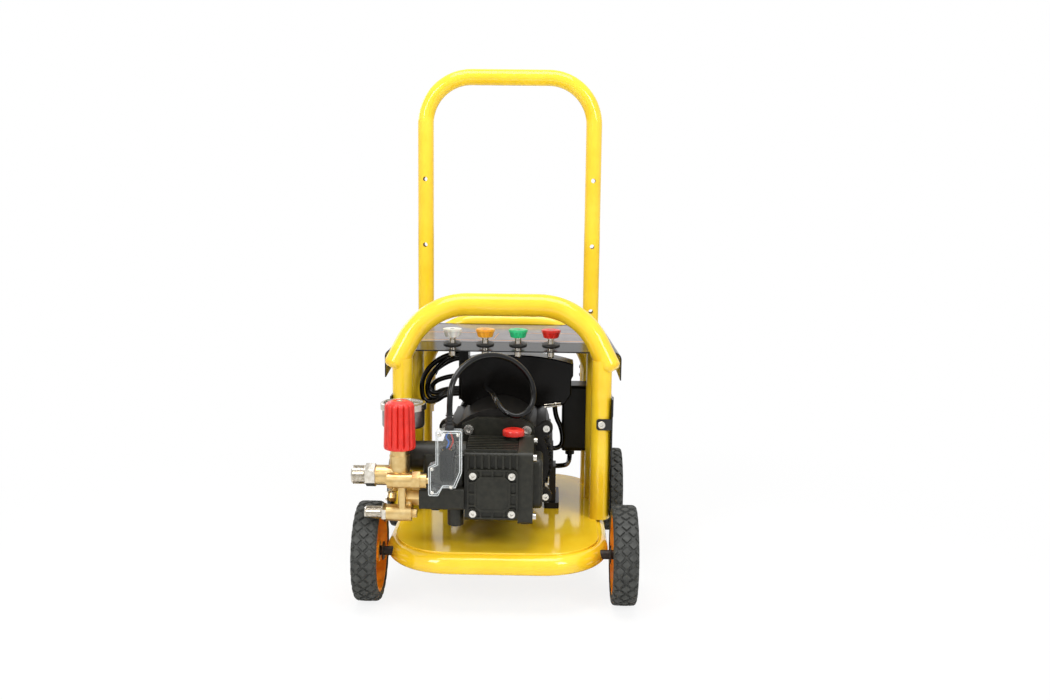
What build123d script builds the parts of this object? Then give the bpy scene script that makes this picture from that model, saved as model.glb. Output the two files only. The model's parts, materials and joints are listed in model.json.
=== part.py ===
# Electric pressure washer on a four-wheeled tubular trolley, in millimetres.
# +X is the machine's right seen from the pump side, -Y is the pump side (front), +Z is up.
# The origin is on the floor, midway between the axles, on the trolley's centre plane.
import math
import os

from build123d import *

os.makedirs("parts", exist_ok=True)

# Wheels and axles
wheel_d = 150.0
tyre_w = 37.0
rim_d = 122.0
wheel_inner_x = 173.0
wheelbase = 370.0
axle_d = 14.0
wheel_play = 0.05
washer_d = 28.0
washer_t = 2.0
nut_across_flats = 22.0
nut_t = 7.5

# Tubular frame
loop_d = 30.0
loop_half_x = 155.0
loop_half_y = 231.0
loop_corner_r = 88.0
plate_t = 3.0
plate_top = 90.0
tube_wall = 1.6
post_d = 32.0
post_x = 160.0
post_front_y = -44.0
mid_post_x = 155.0
mid_post_y = 75.0
hoop_d = 37.0
hoop_end_x = 170.0
hoop_end_z = 341.0
hoop_rise = 92.0
hoop_lean = 28.0
hoop_splay = 26.0
hoop_bend_r = 106.0
hoop_cap = 11.0
arch_d = 28.0
arch_x = 148.8
arch_y = 170.0
arch_top = 383.0
arch_bend_r = 98.0

# Sliding handle, its guide sleeves and clamp knobs
handle_d = 28.0
handle_top = 811.0
handle_foot = 212.0
handle_bend_r = 81.0
hole_pitch = 116.0
hole_count = 4
hole_d = 8.0
first_hole_z = 285.0
slide_gap = 0.4
sleeve_wall = 2.6
sleeve_z = 225.0
sleeve_h = 90.0
clamp_thread_d = 8.0
clamp_gap = 0.08
clamp_boss_d = 18.0
clamp_boss_l = 10.0
clamp_knob_d = 38.0
clamp_knob_l = 18.0
clamp_lobes = 6

# Top panel with its row of spray tips
panel_t = 2.0
panel_front_y = -14.0
panel_front_z = 357.5
panel_rear_z = 380.5
panel_front_half = 193.0
panel_rear_half = 171.0
flap_front = 46.0
flap_rear = 14.0
panel_bend_r = 12.0
tip_y = 24.0
tip_pitch = 54.5
tip_row_x = -4.0
tip_stem_d = 11.9
tip_neck_d = 9.0
tip_flange_d = 33.0
tip_body_d = 25.0
tip_reach = 21.0
tip_lift = 6.0
tip_collar_h = 20.0
tip_ribs = 12
grommet_d = 30.0
grommet_waist_d = 22.0
grommet_lip = 2.5

# Side plates
side_t = 2.0
side_front_y = -62.0
side_rear_y = 88.0
side_low = 94.0
side_high = 289.0
side_tab_w = 26.0
side_tab_h = 18.0
side_bolt_zs = (248.0, 130.0)
bolt_d = 6.2
bolt_head_d = 12.5
bolt_head_h = 4.5

# Control box
box_x0 = 99.0
box_x1 = 173.0
box_y1 = 152.0
box_z0 = 166.0
box_z1 = 282.0
box_corner_r = 8.0
dial_d = 42.0
dial_l = 16.0
dial_y = 122.0
dial_z = 240.0

# Motor
motor_x = -5.5
motor_z = 199.0
motor_core_r = 77.0
motor_fin_r = 88.5
motor_fins = 10
motor_fin_pitch = 10.0
motor_fin_t = 3.0
motor_front_y = -104.0
motor_rear_y = 84.0
shield_r = 83.0
shield_ear_d = 20.0
shield_screw_x = 78.0
shield_screw_z = 54.2
flange_t = 14.0
mount_x = -2.3
mount_t = 12.0
mount_top = 270.0
mount_high_x = 44.5
mount_high_z = 253.0
mount_low_x = 54.0
mount_low_z = 150.0
shield_t = 12.0
bore_r = 64.0
shaft_d = 24.0
shaft_play = 0.05
fan_d = 140.0
fan_blades = 7
cowl_r = 84.0
cowl_l = 74.0
cowl_t = 2.0
foot_in = 75.5
foot_out = 100.5
foot_h = 10.0
foot_y0 = 0.0
foot_y1 = 100.0
foot_screw_ys = (58.0, 88.0)
riser_y0 = 6.0
riser_y1 = 46.0
riser_in = 83.5
riser_out = 94.5
riser_top = 161.0
arm_h = 11.0
right_block_x = 84.6
right_block_y = 57.0
right_block_w = 30.0
right_block_z0 = 140.0
right_block_z1 = 190.0

# Capacitor cover on top of the motor
cover_x0 = -76.0
cover_x1 = 116.0
cover_y0 = 34.0
cover_y1 = 84.0
cover_z0 = 257.0
cover_eave_z = 329.5
cover_crown = 14.0
cover_step = 3.0
cover_cut = 10.0
lead_plate_t = 16.0
lead_plate_z0 = 266.0
lead_plate_z1 = 308.0
lead_block_z0 = 325.0
lead_block_z1 = 350.0
lead_ys = (44.0, 55.0, 66.0, 77.0)

# Pump
pump_front_y = -237.0
pump_rear_y = -118.0
case_x0 = -46.0
case_x1 = 32.0
case_z0 = 137.0
case_front_z = 240.0
case_rear_z = 243.0
side_case_t = 22.0
side_block_y = -205.0
side_block_t = 14.0
side_rear_z = 249.0
side_low_z = 133.0
side_cover_y1 = -140.5
lid_x = -4.7
lid_z = 179.5
lid_w = 74.0
lid_t = 7.0
lid_bolt_pitch = 56.5
screw_d = 10.5
screw_h = 5.0
screw_shank = 6.0
screw_socket = 5.0
big_screw_d = 15.0
big_screw_h = 8.0
big_shank = 8.0
fin_count = 8
fin_pitch = 10.2
fin_t = 3.0
rib_count = 9
rib_t = 3.4
rib_h = 4.0
rib_pitch = 9.5
cap_d = 33.0
cap_h = 10.0
cap_shank_d = 12.0
cap_neck_d = 18.0
cap_x = 23.0
cap_y = -160.0
cap_neck = 8.0
head_x0 = -107.0
head_y0 = -222.0
head_y1 = -152.0
head_z0 = 152.0
head_z1 = 233.0
ledge_x0 = -111.3
ledge_y0 = -239.0
ledge_z0 = 156.5
ledge_z1 = 187.0
barrel_y = -190.0
barrel_z = 225.0
barrel_r = 22.0
barrel_x0 = -130.0
sump_x = -60.0
sump_y = -212.0
sump_d = 24.0
sump_z = 128.5

# Brass manifold and its fittings
man_x = -139.5
man_y = -234.0
out_z = 206.0
in_z = 150.5
valve_y = -248.0
valve_z = 202.0
man_left = -152.0
barrel_d = 29.5
barrel_l = 22.0
outlet_hex = 30.0
outlet_hex_l = 14.7
outlet_d = 27.4
outlet_l = 20.3
outlet_bore = 16.0
valve_d = 22.6
valve_hex = 23.4
valve_hex_l = 11.5
valve_port_l = 12.0
valve_x0 = -155.5
valve_x1 = -119.5
bypass_d = 12.0
bypass_x = -135.5
inlet_body_d = 24.4
inlet_x0 = -158.5
inlet_x1 = -122.0
inlet_nut = 24.4
inlet_nut_l = 6.3
inlet_d = 18.5
inlet_l = 25.7
inlet_bore = 11.0
port_d = 16.0
suction_hex = 22.0
knob_d = 46.5
knob_h = 71.5
knob_z = 245.5
knob_flutes = 14
spindle_d = 10.0
gauge_d = 68.5
gauge_x = -142.5
gauge_y = -168.0
gauge_z0 = 264.0
gauge_h = 37.0
gauge_arm_d = 14.0
gauge_arm_z = 222.0

# Total-stop switch housing
sw_t = 18.0
sw_wall = 2.2
sw_top = 278.0
sw_right = -47.3
sw_left = -85.3
sw_lobe = -96.0
sw_foot = 182.0
sw_ear_d = 8.0
sw_ears = ((-80.0, 272.5), (-53.0, 272.5), (-90.5, 222.0), (-90.0, 187.4), (-63.0, 196.0))
gland_x = -66.0
gland_d = 13.0
gland_h = 24.0

# Leads
lead_d = 8.4

loop_z = plate_top - plate_t - loop_d / 2
sleeve_d = handle_d + 2 * (slide_gap + sleeve_wall)
axle_z = wheel_d / 2
axle_end_x = wheel_inner_x + tyre_w + 2
nut_x = wheel_inner_x + tyre_w - 3.5
sides = {"left": -1, "right": 1}
ends = {"front": -1, "rear": 1}

# ---------------------------------------------------------------- base
with BuildPart() as base_loop:
    with BuildLine(Plane.XY.offset(loop_z)) as loop_line:
        Polyline(
            (0, -loop_half_y),
            (loop_half_x, -loop_half_y),
            (loop_half_x, loop_half_y),
            (-loop_half_x, loop_half_y),
            (-loop_half_x, -loop_half_y),
            (0, -loop_half_y),
        )
        corners = loop_line.vertices().filter_by(lambda v: abs(v.X) > 1)
        fillet(corners, loop_corner_r)
    with BuildSketch(Plane(origin=(0, -loop_half_y, loop_z), z_dir=(1, 0, 0))):
        Circle(loop_d / 2)
        Circle(loop_d / 2 - tube_wall, mode=Mode.SUBTRACT)
    sweep()
    # the axles pass straight through the side tubes
    with Locations((0, -wheelbase / 2, axle_z), (0, wheelbase / 2, axle_z)):
        Cylinder(axle_d / 2, 2 * axle_end_x, rotation=(0, 90, 0), mode=Mode.SUBTRACT)
base_loop.part.label = "base_loop"
export_step(base_loop.part, "parts/base_loop.step")

shield_bolts = [
    (motor_x + i * shield_screw_x, motor_z + j * shield_screw_z) for i in (-1, 1) for j in (-1, 1)
]
mount_bolts = [
    (mount_x + i * x, z)
    for i in (-1, 1)
    for x, z in ((mount_high_x, mount_high_z), (mount_low_x, mount_low_z))
]
foot_bolts = [(motor_x + i * (foot_in + foot_out) / 2, y) for i in (-1, 1) for y in foot_screw_ys]
with BuildPart() as base_plate:
    with BuildSketch(Plane.XY.offset(plate_top - plate_t)):
        RectangleRounded(2 * loop_half_x, 2 * loop_half_y, loop_corner_r)
    extrude(amount=plate_t)
    with Locations(*[(x, y, plate_top) for x, y in foot_bolts]):
        Cylinder(big_shank / 2, 4 * plate_t, mode=Mode.SUBTRACT)
base_plate.part.label = "base_plate"
export_step(base_plate.part, "parts/base_plate.step")

# ---------------------------------------------------------------- front hoop and posts
hoop_angle = math.atan2(hoop_lean, hoop_rise)
hoop_slant = math.hypot(hoop_lean, hoop_rise)
hoop_knee_x = hoop_end_x - hoop_slant * math.tan(math.radians(hoop_splay))
hoop_plane = Plane(
    origin=(0, post_front_y, hoop_end_z),
    x_dir=(1, 0, 0),
    z_dir=(0, -math.cos(hoop_angle), math.sin(hoop_angle)),
)

with BuildPart() as hoop_envelope:
    with BuildLine(hoop_plane) as hoop_line:
        FilletPolyline(
            (-hoop_end_x, 0),
            (-hoop_knee_x, hoop_slant),
            (hoop_knee_x, hoop_slant),
            (hoop_end_x, 0),
            radius=hoop_bend_r,
        )
    with BuildSketch(Plane(origin=hoop_line.wire() @ 0, z_dir=hoop_line.wire() % 0)):
        Circle(hoop_d / 2)
    sweep()
    for at in (0, 1):
        outward = (hoop_line.wire() % at) * (2 * at - 1)
        with BuildSketch(Plane(origin=hoop_line.wire() @ at, z_dir=outward)):
            Circle(hoop_d / 2)
        extrude(amount=hoop_cap)
    hoop_tips = hoop_envelope.faces().filter_by(GeomType.PLANE).sort_by(Axis.Z)[:2]
    fillet(hoop_tips.edges(), hoop_cap - 1)

with BuildPart() as front_hoop:
    add(hoop_envelope.part)
    with BuildLine():
        add(hoop_line.wire())
    with BuildSketch(Plane(origin=hoop_line.wire() @ 0, z_dir=hoop_line.wire() % 0)):
        Circle(hoop_d / 2 - tube_wall)
    sweep(mode=Mode.SUBTRACT)
front_hoop.part.label = "front_hoop"
export_step(front_hoop.part, "parts/front_hoop.step")

for side, sign in sides.items():
    with BuildPart() as front_post:
        with BuildSketch(Plane.XY.offset(plate_top)):
            with Locations((sign * post_x, post_front_y)):
                Circle(post_d / 2)
                Circle(post_d / 2 - tube_wall, mode=Mode.SUBTRACT)
        extrude(amount=hoop_end_z + 8 - plate_top)
        # the top is coped to the hoop that lands on it
        add(hoop_envelope.part, mode=Mode.SUBTRACT)
        with Locations(*[(sign * post_x, post_front_y - post_d / 2, z) for z in side_bolt_zs]):
            Cylinder(bolt_d / 2, post_d / 2, rotation=(90, 0, 0), mode=Mode.SUBTRACT)
    front_post.part.label = f"front_post_{side}"
    export_step(front_post.part, f"parts/front_post_{side}.step")

# ---------------------------------------------------------------- top panel
panel_rear_y = arch_y - arch_d / 2
panel_slope = math.atan2(panel_rear_z - panel_front_z, panel_rear_y - panel_front_y)
panel_plane = Plane(
    origin=(0, panel_front_y, panel_front_z),
    x_dir=(1, 0, 0),
    z_dir=(0, -math.sin(panel_slope), math.cos(panel_slope)),
)
tip_xs = [tip_row_x + (i - 1.5) * tip_pitch for i in range(4)]
tip_z = panel_front_z + (tip_y - panel_front_y) * math.tan(panel_slope)

with BuildPart() as top_panel:
    # one bent sheet: a wide front edge with deep side flaps, narrowing to the rear
    for y, z, half, flap in (
        (panel_front_y, panel_front_z, panel_front_half, flap_front),
        (panel_rear_y, panel_rear_z, panel_rear_half, flap_rear),
    ):
        with BuildSketch(Plane.XZ.offset(-y)):
            with BuildLine():
                outer = FilletPolyline(
                    (-half, z - flap), (-half, z), (half, z), (half, z - flap), radius=panel_bend_r
                )
                Line(outer @ 1, (half - panel_t, z - flap))
                FilletPolyline(
                    (half - panel_t, z - flap),
                    (half - panel_t, z - panel_t),
                    (panel_t - half, z - panel_t),
                    (panel_t - half, z - flap),
                    radius=panel_bend_r - panel_t,
                )
                Line((panel_t - half, z - flap), outer @ 0)
            make_face()
    loft(ruled=True)
    with Locations(*[(x, tip_y, tip_z) for x in tip_xs]):
        Cylinder(grommet_waist_d / 2, 20, mode=Mode.SUBTRACT)
top_panel.part.label = "top_panel"
export_step(top_panel.part, "parts/top_panel.step")

with BuildPart() as tip_grommets:
    tip_seat = Plane(origin=(0, tip_y, tip_z), x_dir=(1, 0, 0), z_dir=panel_plane.z_dir)
    for lift, diameter, height in (
        (0, grommet_d, grommet_lip),
        (-panel_t - grommet_lip, grommet_d - 3, grommet_lip),
    ):
        with BuildSketch(tip_seat.offset(lift)):
            with Locations(*[(x, 0) for x in tip_xs]):
                Circle(diameter / 2)
        extrude(amount=height)
    crowns = tip_grommets.edges().filter_by(GeomType.CIRCLE).group_by(Axis((0, 0, 0), tip_seat.z_dir))
    fillet(crowns[-1], 1.2)
    with Locations(*[(x, tip_y, tip_z) for x in tip_xs]):
        Cylinder(grommet_waist_d / 2, 2 * panel_t)
        Cylinder(tip_stem_d / 2 + slide_gap, 40, mode=Mode.SUBTRACT)
tip_grommets.part.label = "tip_grommets"
export_step(tip_grommets.part, "parts/tip_grommets.step")

# four colour-coded quick-connect spray tips stand in the panel
for colour, x in zip(("white", "yellow", "green", "red"), tip_xs):
    with BuildPart() as tip:
        with BuildSketch(Plane.XZ.offset(-tip_y)):
            with BuildLine():
                Polyline(
                    (x, tip_z - tip_reach),
                    (x + tip_neck_d / 2, tip_z - tip_reach),
                    (x + tip_stem_d / 2, tip_z - tip_reach + 2),
                    (x + tip_stem_d / 2, tip_z - 12),
                    (x + tip_neck_d / 2, tip_z - 10),
                    (x + tip_neck_d / 2, tip_z - 7),
                    (x + tip_stem_d / 2, tip_z - 5),
                    (x + tip_stem_d / 2, tip_z + tip_lift),
                    (x + tip_body_d / 2 - 2, tip_z + tip_lift),
                    (x + tip_flange_d / 2 - 2.5, tip_z + tip_lift + tip_collar_h - 7),
                    (x + tip_flange_d / 2, tip_z + tip_lift + tip_collar_h - 6),
                    (x + tip_flange_d / 2 - 1, tip_z + tip_lift + tip_collar_h),
                    (x, tip_z + tip_lift + tip_collar_h),
                    close=True,
                )
            make_face()
        revolve(axis=Axis((x, tip_y, 0), (0, 0, 1)))
        # grip ribs under the flange, scallops round it, and the spray orifice
        with BuildSketch(Plane.XY.offset(tip_z + tip_lift + 1)):
            with Locations((x, tip_y)):
                with PolarLocations(tip_body_d / 2 - 1.5, tip_ribs):
                    Rectangle(3.5, 2.2)
        extrude(amount=tip_collar_h - 8)
        with Locations((x, tip_y, tip_z + tip_lift + tip_collar_h - 3)):
            with PolarLocations(tip_flange_d / 2 + 2.2, 8):
                Cylinder(4.2, 8, mode=Mode.SUBTRACT)
        with Locations((x, tip_y, tip_z + tip_lift + tip_collar_h)):
            Cylinder(4.5, 6, mode=Mode.SUBTRACT)
    tip.part.label = f"tip_{colour}"
    export_step(tip.part, f"parts/tip_{colour}.step")

for side, sign in sides.items():
    with BuildPart() as mid_post:
        with BuildSketch(Plane.XY.offset(plate_top)):
            with Locations((sign * mid_post_x, mid_post_y)):
                Circle(post_d / 2)
                Circle(post_d / 2 - tube_wall, mode=Mode.SUBTRACT)
        extrude(amount=panel_rear_z - plate_top)
        # cut on the slope of the panel that it carries
        split(bisect_by=panel_plane.offset(-panel_t - 0.1), keep=Keep.BOTTOM)
        with Locations(*[(sign * (mid_post_x + post_d / 2), mid_post_y, z + 20) for z in side_bolt_zs]):
            Cylinder(bolt_d / 2, post_d / 2, rotation=(0, 90, 0), mode=Mode.SUBTRACT)
    mid_post.part.label = f"mid_post_{side}"
    export_step(mid_post.part, f"parts/mid_post_{side}.step")

# ---------------------------------------------------------------- rear arch and handle
with BuildPart() as rear_arch:
    with BuildLine(Plane.XZ.offset(-arch_y)):
        FilletPolyline(
            (-arch_x, plate_top),
            (-arch_x, arch_top),
            (arch_x, arch_top),
            (arch_x, plate_top),
            radius=arch_bend_r,
        )
    with BuildSketch(Plane(origin=(-arch_x, arch_y, plate_top), z_dir=(0, 0, 1))):
        Circle(arch_d / 2)
        Circle(arch_d / 2 - tube_wall, mode=Mode.SUBTRACT)
    sweep()
rear_arch.part.label = "rear_arch"
export_step(rear_arch.part, "parts/rear_arch.step")

handle_y = arch_y + arch_d / 2 + sleeve_d / 2
with BuildPart() as handle_bar:
    with BuildLine(Plane.XZ.offset(-handle_y)):
        FilletPolyline(
            (-arch_x, handle_foot),
            (-arch_x, handle_top),
            (arch_x, handle_top),
            (arch_x, handle_foot),
            radius=handle_bend_r,
        )
    with BuildSketch(Plane(origin=(-arch_x, handle_y, handle_foot), z_dir=(0, 0, 1))):
        Circle(handle_d / 2)
        Circle(handle_d / 2 - tube_wall, mode=Mode.SUBTRACT)
    sweep()
    # a row of height holes right through each leg
    for i in range(hole_count):
        with Locations(*[(sign * arch_x, handle_y, first_hole_z + i * hole_pitch) for sign in (-1, 1)]):
            Cylinder(hole_d / 2, handle_d + 4, rotation=(90, 0, 0), mode=Mode.SUBTRACT)
handle_bar.part.label = "handle_bar"
export_step(handle_bar.part, "parts/handle_bar.step")

clamp_y = handle_y + sleeve_d / 2
with BuildPart() as handle_sleeves:
    with BuildSketch(Plane.XY.offset(sleeve_z)):
        with Locations((-arch_x, handle_y), (arch_x, handle_y)):
            Circle(sleeve_d / 2)
    extrude(amount=sleeve_h)
    with Locations(*[(sign * arch_x, clamp_y + clamp_boss_l / 2 - 2, first_hole_z) for sign in (-1, 1)]):
        Cylinder(clamp_boss_d / 2, clamp_boss_l + 4, rotation=(90, 0, 0))
    with BuildSketch(Plane.XY.offset(sleeve_z)):
        with Locations((-arch_x, handle_y), (arch_x, handle_y)):
            Circle(handle_d / 2 + slide_gap)
    extrude(amount=sleeve_h, mode=Mode.SUBTRACT)
    with Locations(*[(sign * arch_x, clamp_y + clamp_boss_l / 2, first_hole_z) for sign in (-1, 1)]):
        Cylinder(clamp_thread_d / 2 + clamp_gap, 30, rotation=(90, 0, 0), mode=Mode.SUBTRACT)
handle_sleeves.part.label = "handle_sleeves"
export_step(handle_sleeves.part, "parts/handle_sleeves.step")

for side, sign in sides.items():
    with BuildPart() as clamp_knob:
        # the screw's flat tip bears on the leg, 0.4 mm off it when slack
        with BuildSketch(Plane.XZ.offset(-(handle_y + handle_d / 2 + slide_gap))):
            with Locations((sign * arch_x, first_hole_z)):
                Circle(clamp_thread_d / 2)
        extrude(amount=-(clamp_boss_l + 8))
        with BuildSketch(Plane.XZ.offset(-(clamp_y + clamp_boss_l + 0.6))):
            with Locations((sign * arch_x, first_hole_z)):
                Circle(clamp_knob_d / 2)
                with PolarLocations(clamp_knob_d / 2 + 3, clamp_lobes):
                    Circle(8, mode=Mode.SUBTRACT)
        extrude(amount=-clamp_knob_l)
        fillet(clamp_knob.faces().sort_by(Axis.Y)[-1].edges(), 2.5)
    clamp_knob.part.label = f"clamp_knob_{side}"
    export_step(clamp_knob.part, f"parts/clamp_knob_{side}.step")

# ---------------------------------------------------------------- wheels
with BuildPart() as axles:
    with Locations((0, -wheelbase / 2, axle_z), (0, wheelbase / 2, axle_z)):
        Cylinder(axle_d / 2, 2 * axle_end_x, rotation=(0, 90, 0))
    chamfer(axles.edges().filter_by(GeomType.CIRCLE), 1)
axles.part.label = "axles"
export_step(axles.part, "parts/axles.step")

wheel_centres = [(sign, along * wheelbase / 2) for sign in (-1, 1) for along in (-1, 1)]
with BuildPart() as axle_washers:
    for sign, axle_y in wheel_centres:
        with BuildSketch(Plane.YZ.offset(sign * (wheel_inner_x - 0.5) - (washer_t if sign > 0 else 0))):
            with Locations((axle_y, axle_z)):
                Circle(washer_d / 2)
                Circle(axle_d / 2, mode=Mode.SUBTRACT)
        extrude(amount=washer_t)
axle_washers.part.label = "axle_washers"
export_step(axle_washers.part, "parts/axle_washers.step")

with BuildPart() as axle_nuts:
    for sign, axle_y in wheel_centres:
        with BuildSketch(Plane.YZ.offset(sign * nut_x)):
            with Locations((axle_y, axle_z)):
                RegularPolygon(nut_across_flats / 2, 6, major_radius=False)
        extrude(amount=sign * nut_t)
        with Locations((0, axle_y, axle_z)):
            Cylinder(axle_d / 2, 2 * axle_end_x, rotation=(0, 90, 0), mode=Mode.SUBTRACT)
axle_nuts.part.label = "axle_nuts"
export_step(axle_nuts.part, "parts/axle_nuts.step")

for side, sign in sides.items():
    for end, along in ends.items():
        axle_y = along * wheelbase / 2
        wheel_axis = Axis((0, axle_y, axle_z), (1, 0, 0))
        x_in = sign * wheel_inner_x
        x_out = sign * (wheel_inner_x + tyre_w)
        x_mid = (x_in + x_out) / 2
        with BuildPart() as tyre:
            with BuildSketch(Plane.XY.offset(axle_z)):
                with Locations((x_mid, axle_y + (wheel_d + rim_d) / 4)):
                    Rectangle(tyre_w, (wheel_d - rim_d) / 2)
            revolve(axis=wheel_axis)
            treads = tyre.edges().filter_by(GeomType.CIRCLE).sort_by(SortBy.RADIUS)[-2:]
            fillet(treads, 6)
        tyre.part.label = f"tyre_{end}_{side}"
        export_step(tyre.part, f"parts/tyre_{end}_{side}.step")

        with BuildPart() as hub:
            rim_in = rim_d / 2 - 4
            boss_r = 16.0
            with BuildSketch(Plane.XY.offset(axle_z)):
                with Locations((x_mid, axle_y + rim_d / 2 - 2)):
                    Rectangle(tyre_w - 3, 4)
                with Locations((x_mid, axle_y + (rim_in + boss_r) / 2)):
                    Rectangle(5, rim_in - boss_r + 2)
                with Locations((x_mid, axle_y + (boss_r + axle_d / 2 + wheel_play) / 2)):
                    Rectangle(tyre_w - 8, boss_r - axle_d / 2 - wheel_play)
            revolve(axis=wheel_axis)
            # five windows between broad spokes
            with BuildSketch(Plane.YZ.offset(x_mid)):
                with Locations((axle_y, axle_z)):
                    with PolarLocations(38, 5):
                        Trapezoid(26, 24, 108, rotation=-90)
            extrude(amount=20, both=True, mode=Mode.SUBTRACT)
        hub.part.label = f"hub_{end}_{side}"
        export_step(hub.part, f"parts/hub_{end}_{side}.step")

# ---------------------------------------------------------------- side plates
for side, sign in sides.items():
    inner = sign * (post_x + post_d / 2)
    with BuildPart() as side_plate:
        # rounded sheet whose lower rear corner clears the rear wheel
        with BuildSketch(Plane.YZ.offset(inner)):
            with BuildLine() as outline:
                Polyline(
                    (side_front_y, side_low),
                    (side_rear_y - 26, side_low),
                    (side_rear_y, side_low + 60),
                    (side_rear_y, side_high),
                    (side_front_y, side_high),
                    close=True,
                )
            make_face()
            fillet(outline.vertices().group_by(Axis.X)[-1], 12)
        extrude(amount=sign * side_t)
        # tabs folded round the front of the post
        for z in side_bolt_zs:
            with BuildSketch(Plane.XZ.offset(-side_front_y)):
                with Locations((sign * (post_x + post_d / 2 + side_t - side_tab_w / 2), z)):
                    Rectangle(side_tab_w, side_tab_h)
            extrude(amount=-side_t)
        outer_edge = side_plate.edges().filter_by(Axis.Y).group_by(Axis.X)[0 if sign > 0 else -1]
        fillet(outer_edge, 4)
        for z in side_bolt_zs:
            with Locations((sign * post_x, side_front_y, z)):
                Cylinder(bolt_d / 2, 12, rotation=(90, 0, 0), mode=Mode.SUBTRACT)
            with Locations((inner, mid_post_y, z + 20)):
                Cylinder(bolt_d / 2, 12, rotation=(0, 90, 0), mode=Mode.SUBTRACT)
    side_plate.part.label = f"side_plate_{side}"
    export_step(side_plate.part, f"parts/side_plate_{side}.step")

with BuildPart() as frame_bolts:
    for sign in (-1, 1):
        for z in side_bolt_zs:
            with BuildSketch(Plane.XZ.offset(-side_front_y)):
                with Locations((sign * post_x, z)):
                    Circle(bolt_head_d / 2)
            extrude(amount=bolt_head_h)
            with Locations((sign * post_x, side_front_y + 3, z)):
                Cylinder(bolt_d / 2, 8, rotation=(90, 0, 0))
            with BuildSketch(Plane.YZ.offset(sign * (post_x + post_d / 2 + side_t))):
                with Locations((mid_post_y, z + 20)):
                    Circle(bolt_head_d / 2)
            extrude(amount=sign * bolt_head_h)
            with Locations((sign * (post_x + post_d / 2 - 2), mid_post_y, z + 20)):
                Cylinder(bolt_d / 2, 10, rotation=(0, 90, 0))
            # spacer between the post and the plate
            with BuildSketch(Plane.YZ.offset(sign * (mid_post_x + post_d / 2))):
                with Locations((mid_post_y, z + 20)):
                    Circle(bolt_d)
            extrude(amount=sign * (post_x - mid_post_x))
    heads = frame_bolts.faces().filter_by(GeomType.PLANE)
    fronts = heads.sort_by(Axis.Y)[:4]
    outers = heads.sort_by(Axis.X)[:2] + heads.sort_by(Axis.X)[-2:]
    fillet((fronts + outers).edges(), 1.5)
    for face in fronts + outers:
        with BuildSketch(Plane(face)):
            RegularPolygon(2.8, 6)
        extrude(amount=-2.5, mode=Mode.SUBTRACT)
frame_bolts.part.label = "frame_bolts"
export_step(frame_bolts.part, "parts/frame_bolts.step")

# ---------------------------------------------------------------- control box
box_y0 = mid_post_y + post_d / 2
with BuildPart() as control_box:
    with BuildSketch(Plane.YZ.offset(box_x0)):
        with Locations(((box_y0 + box_y1) / 2, (box_z0 + box_z1) / 2)):
            RectangleRounded(box_y1 - box_y0, box_z1 - box_z0, box_corner_r)
    extrude(amount=box_x1 - box_x0)
    fillet(control_box.faces().sort_by(Axis.X)[0].edges(), 4)
    # lid joint, a shallow groove all round near the outer side
    with BuildSketch(Plane.YZ.offset(box_x1 - 22)):
        with Locations(((box_y0 + box_y1) / 2, (box_z0 + box_z1) / 2)):
            RectangleRounded(box_y1 - box_y0 + 4, box_z1 - box_z0 + 4, box_corner_r)
            RectangleRounded(box_y1 - box_y0 - 3, box_z1 - box_z0 - 3, box_corner_r - 1.5, mode=Mode.SUBTRACT)
    extrude(amount=1.6, mode=Mode.SUBTRACT)
    with Locations((box_x1, dial_y, dial_z)):
        Cylinder(4 + shaft_play, 16, rotation=(0, 90, 0), mode=Mode.SUBTRACT)
    with Locations((box_x0 + 15, (box_y0 + box_y1) / 2, box_z0 - 5)):
        Cylinder(8, 12)
control_box.part.label = "control_box"
export_step(control_box.part, "parts/control_box.step")

with BuildPart() as power_switch:
    # rotary on-off switch with a raised grip bar
    with BuildSketch(Plane.YZ.offset(box_x1 + 0.5)):
        with Locations((dial_y, dial_z)):
            Circle(dial_d / 2)
    extrude(amount=4)
    with BuildSketch(Plane.YZ.offset(box_x1 + 4.5)):
        with Locations((dial_y, dial_z)):
            SlotOverall(dial_d - 3, 11, rotation=90)
    extrude(amount=dial_l - 4, taper=4)
    fillet(power_switch.faces().sort_by(Axis.X)[-1].edges(), 1.5)
    with BuildSketch(Plane.YZ.offset(box_x1 - 7)):
        with Locations((dial_y, dial_z)):
            Circle(4)
    extrude(amount=8)
power_switch.part.label = "power_switch"
export_step(power_switch.part, "parts/power_switch.step")

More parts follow.
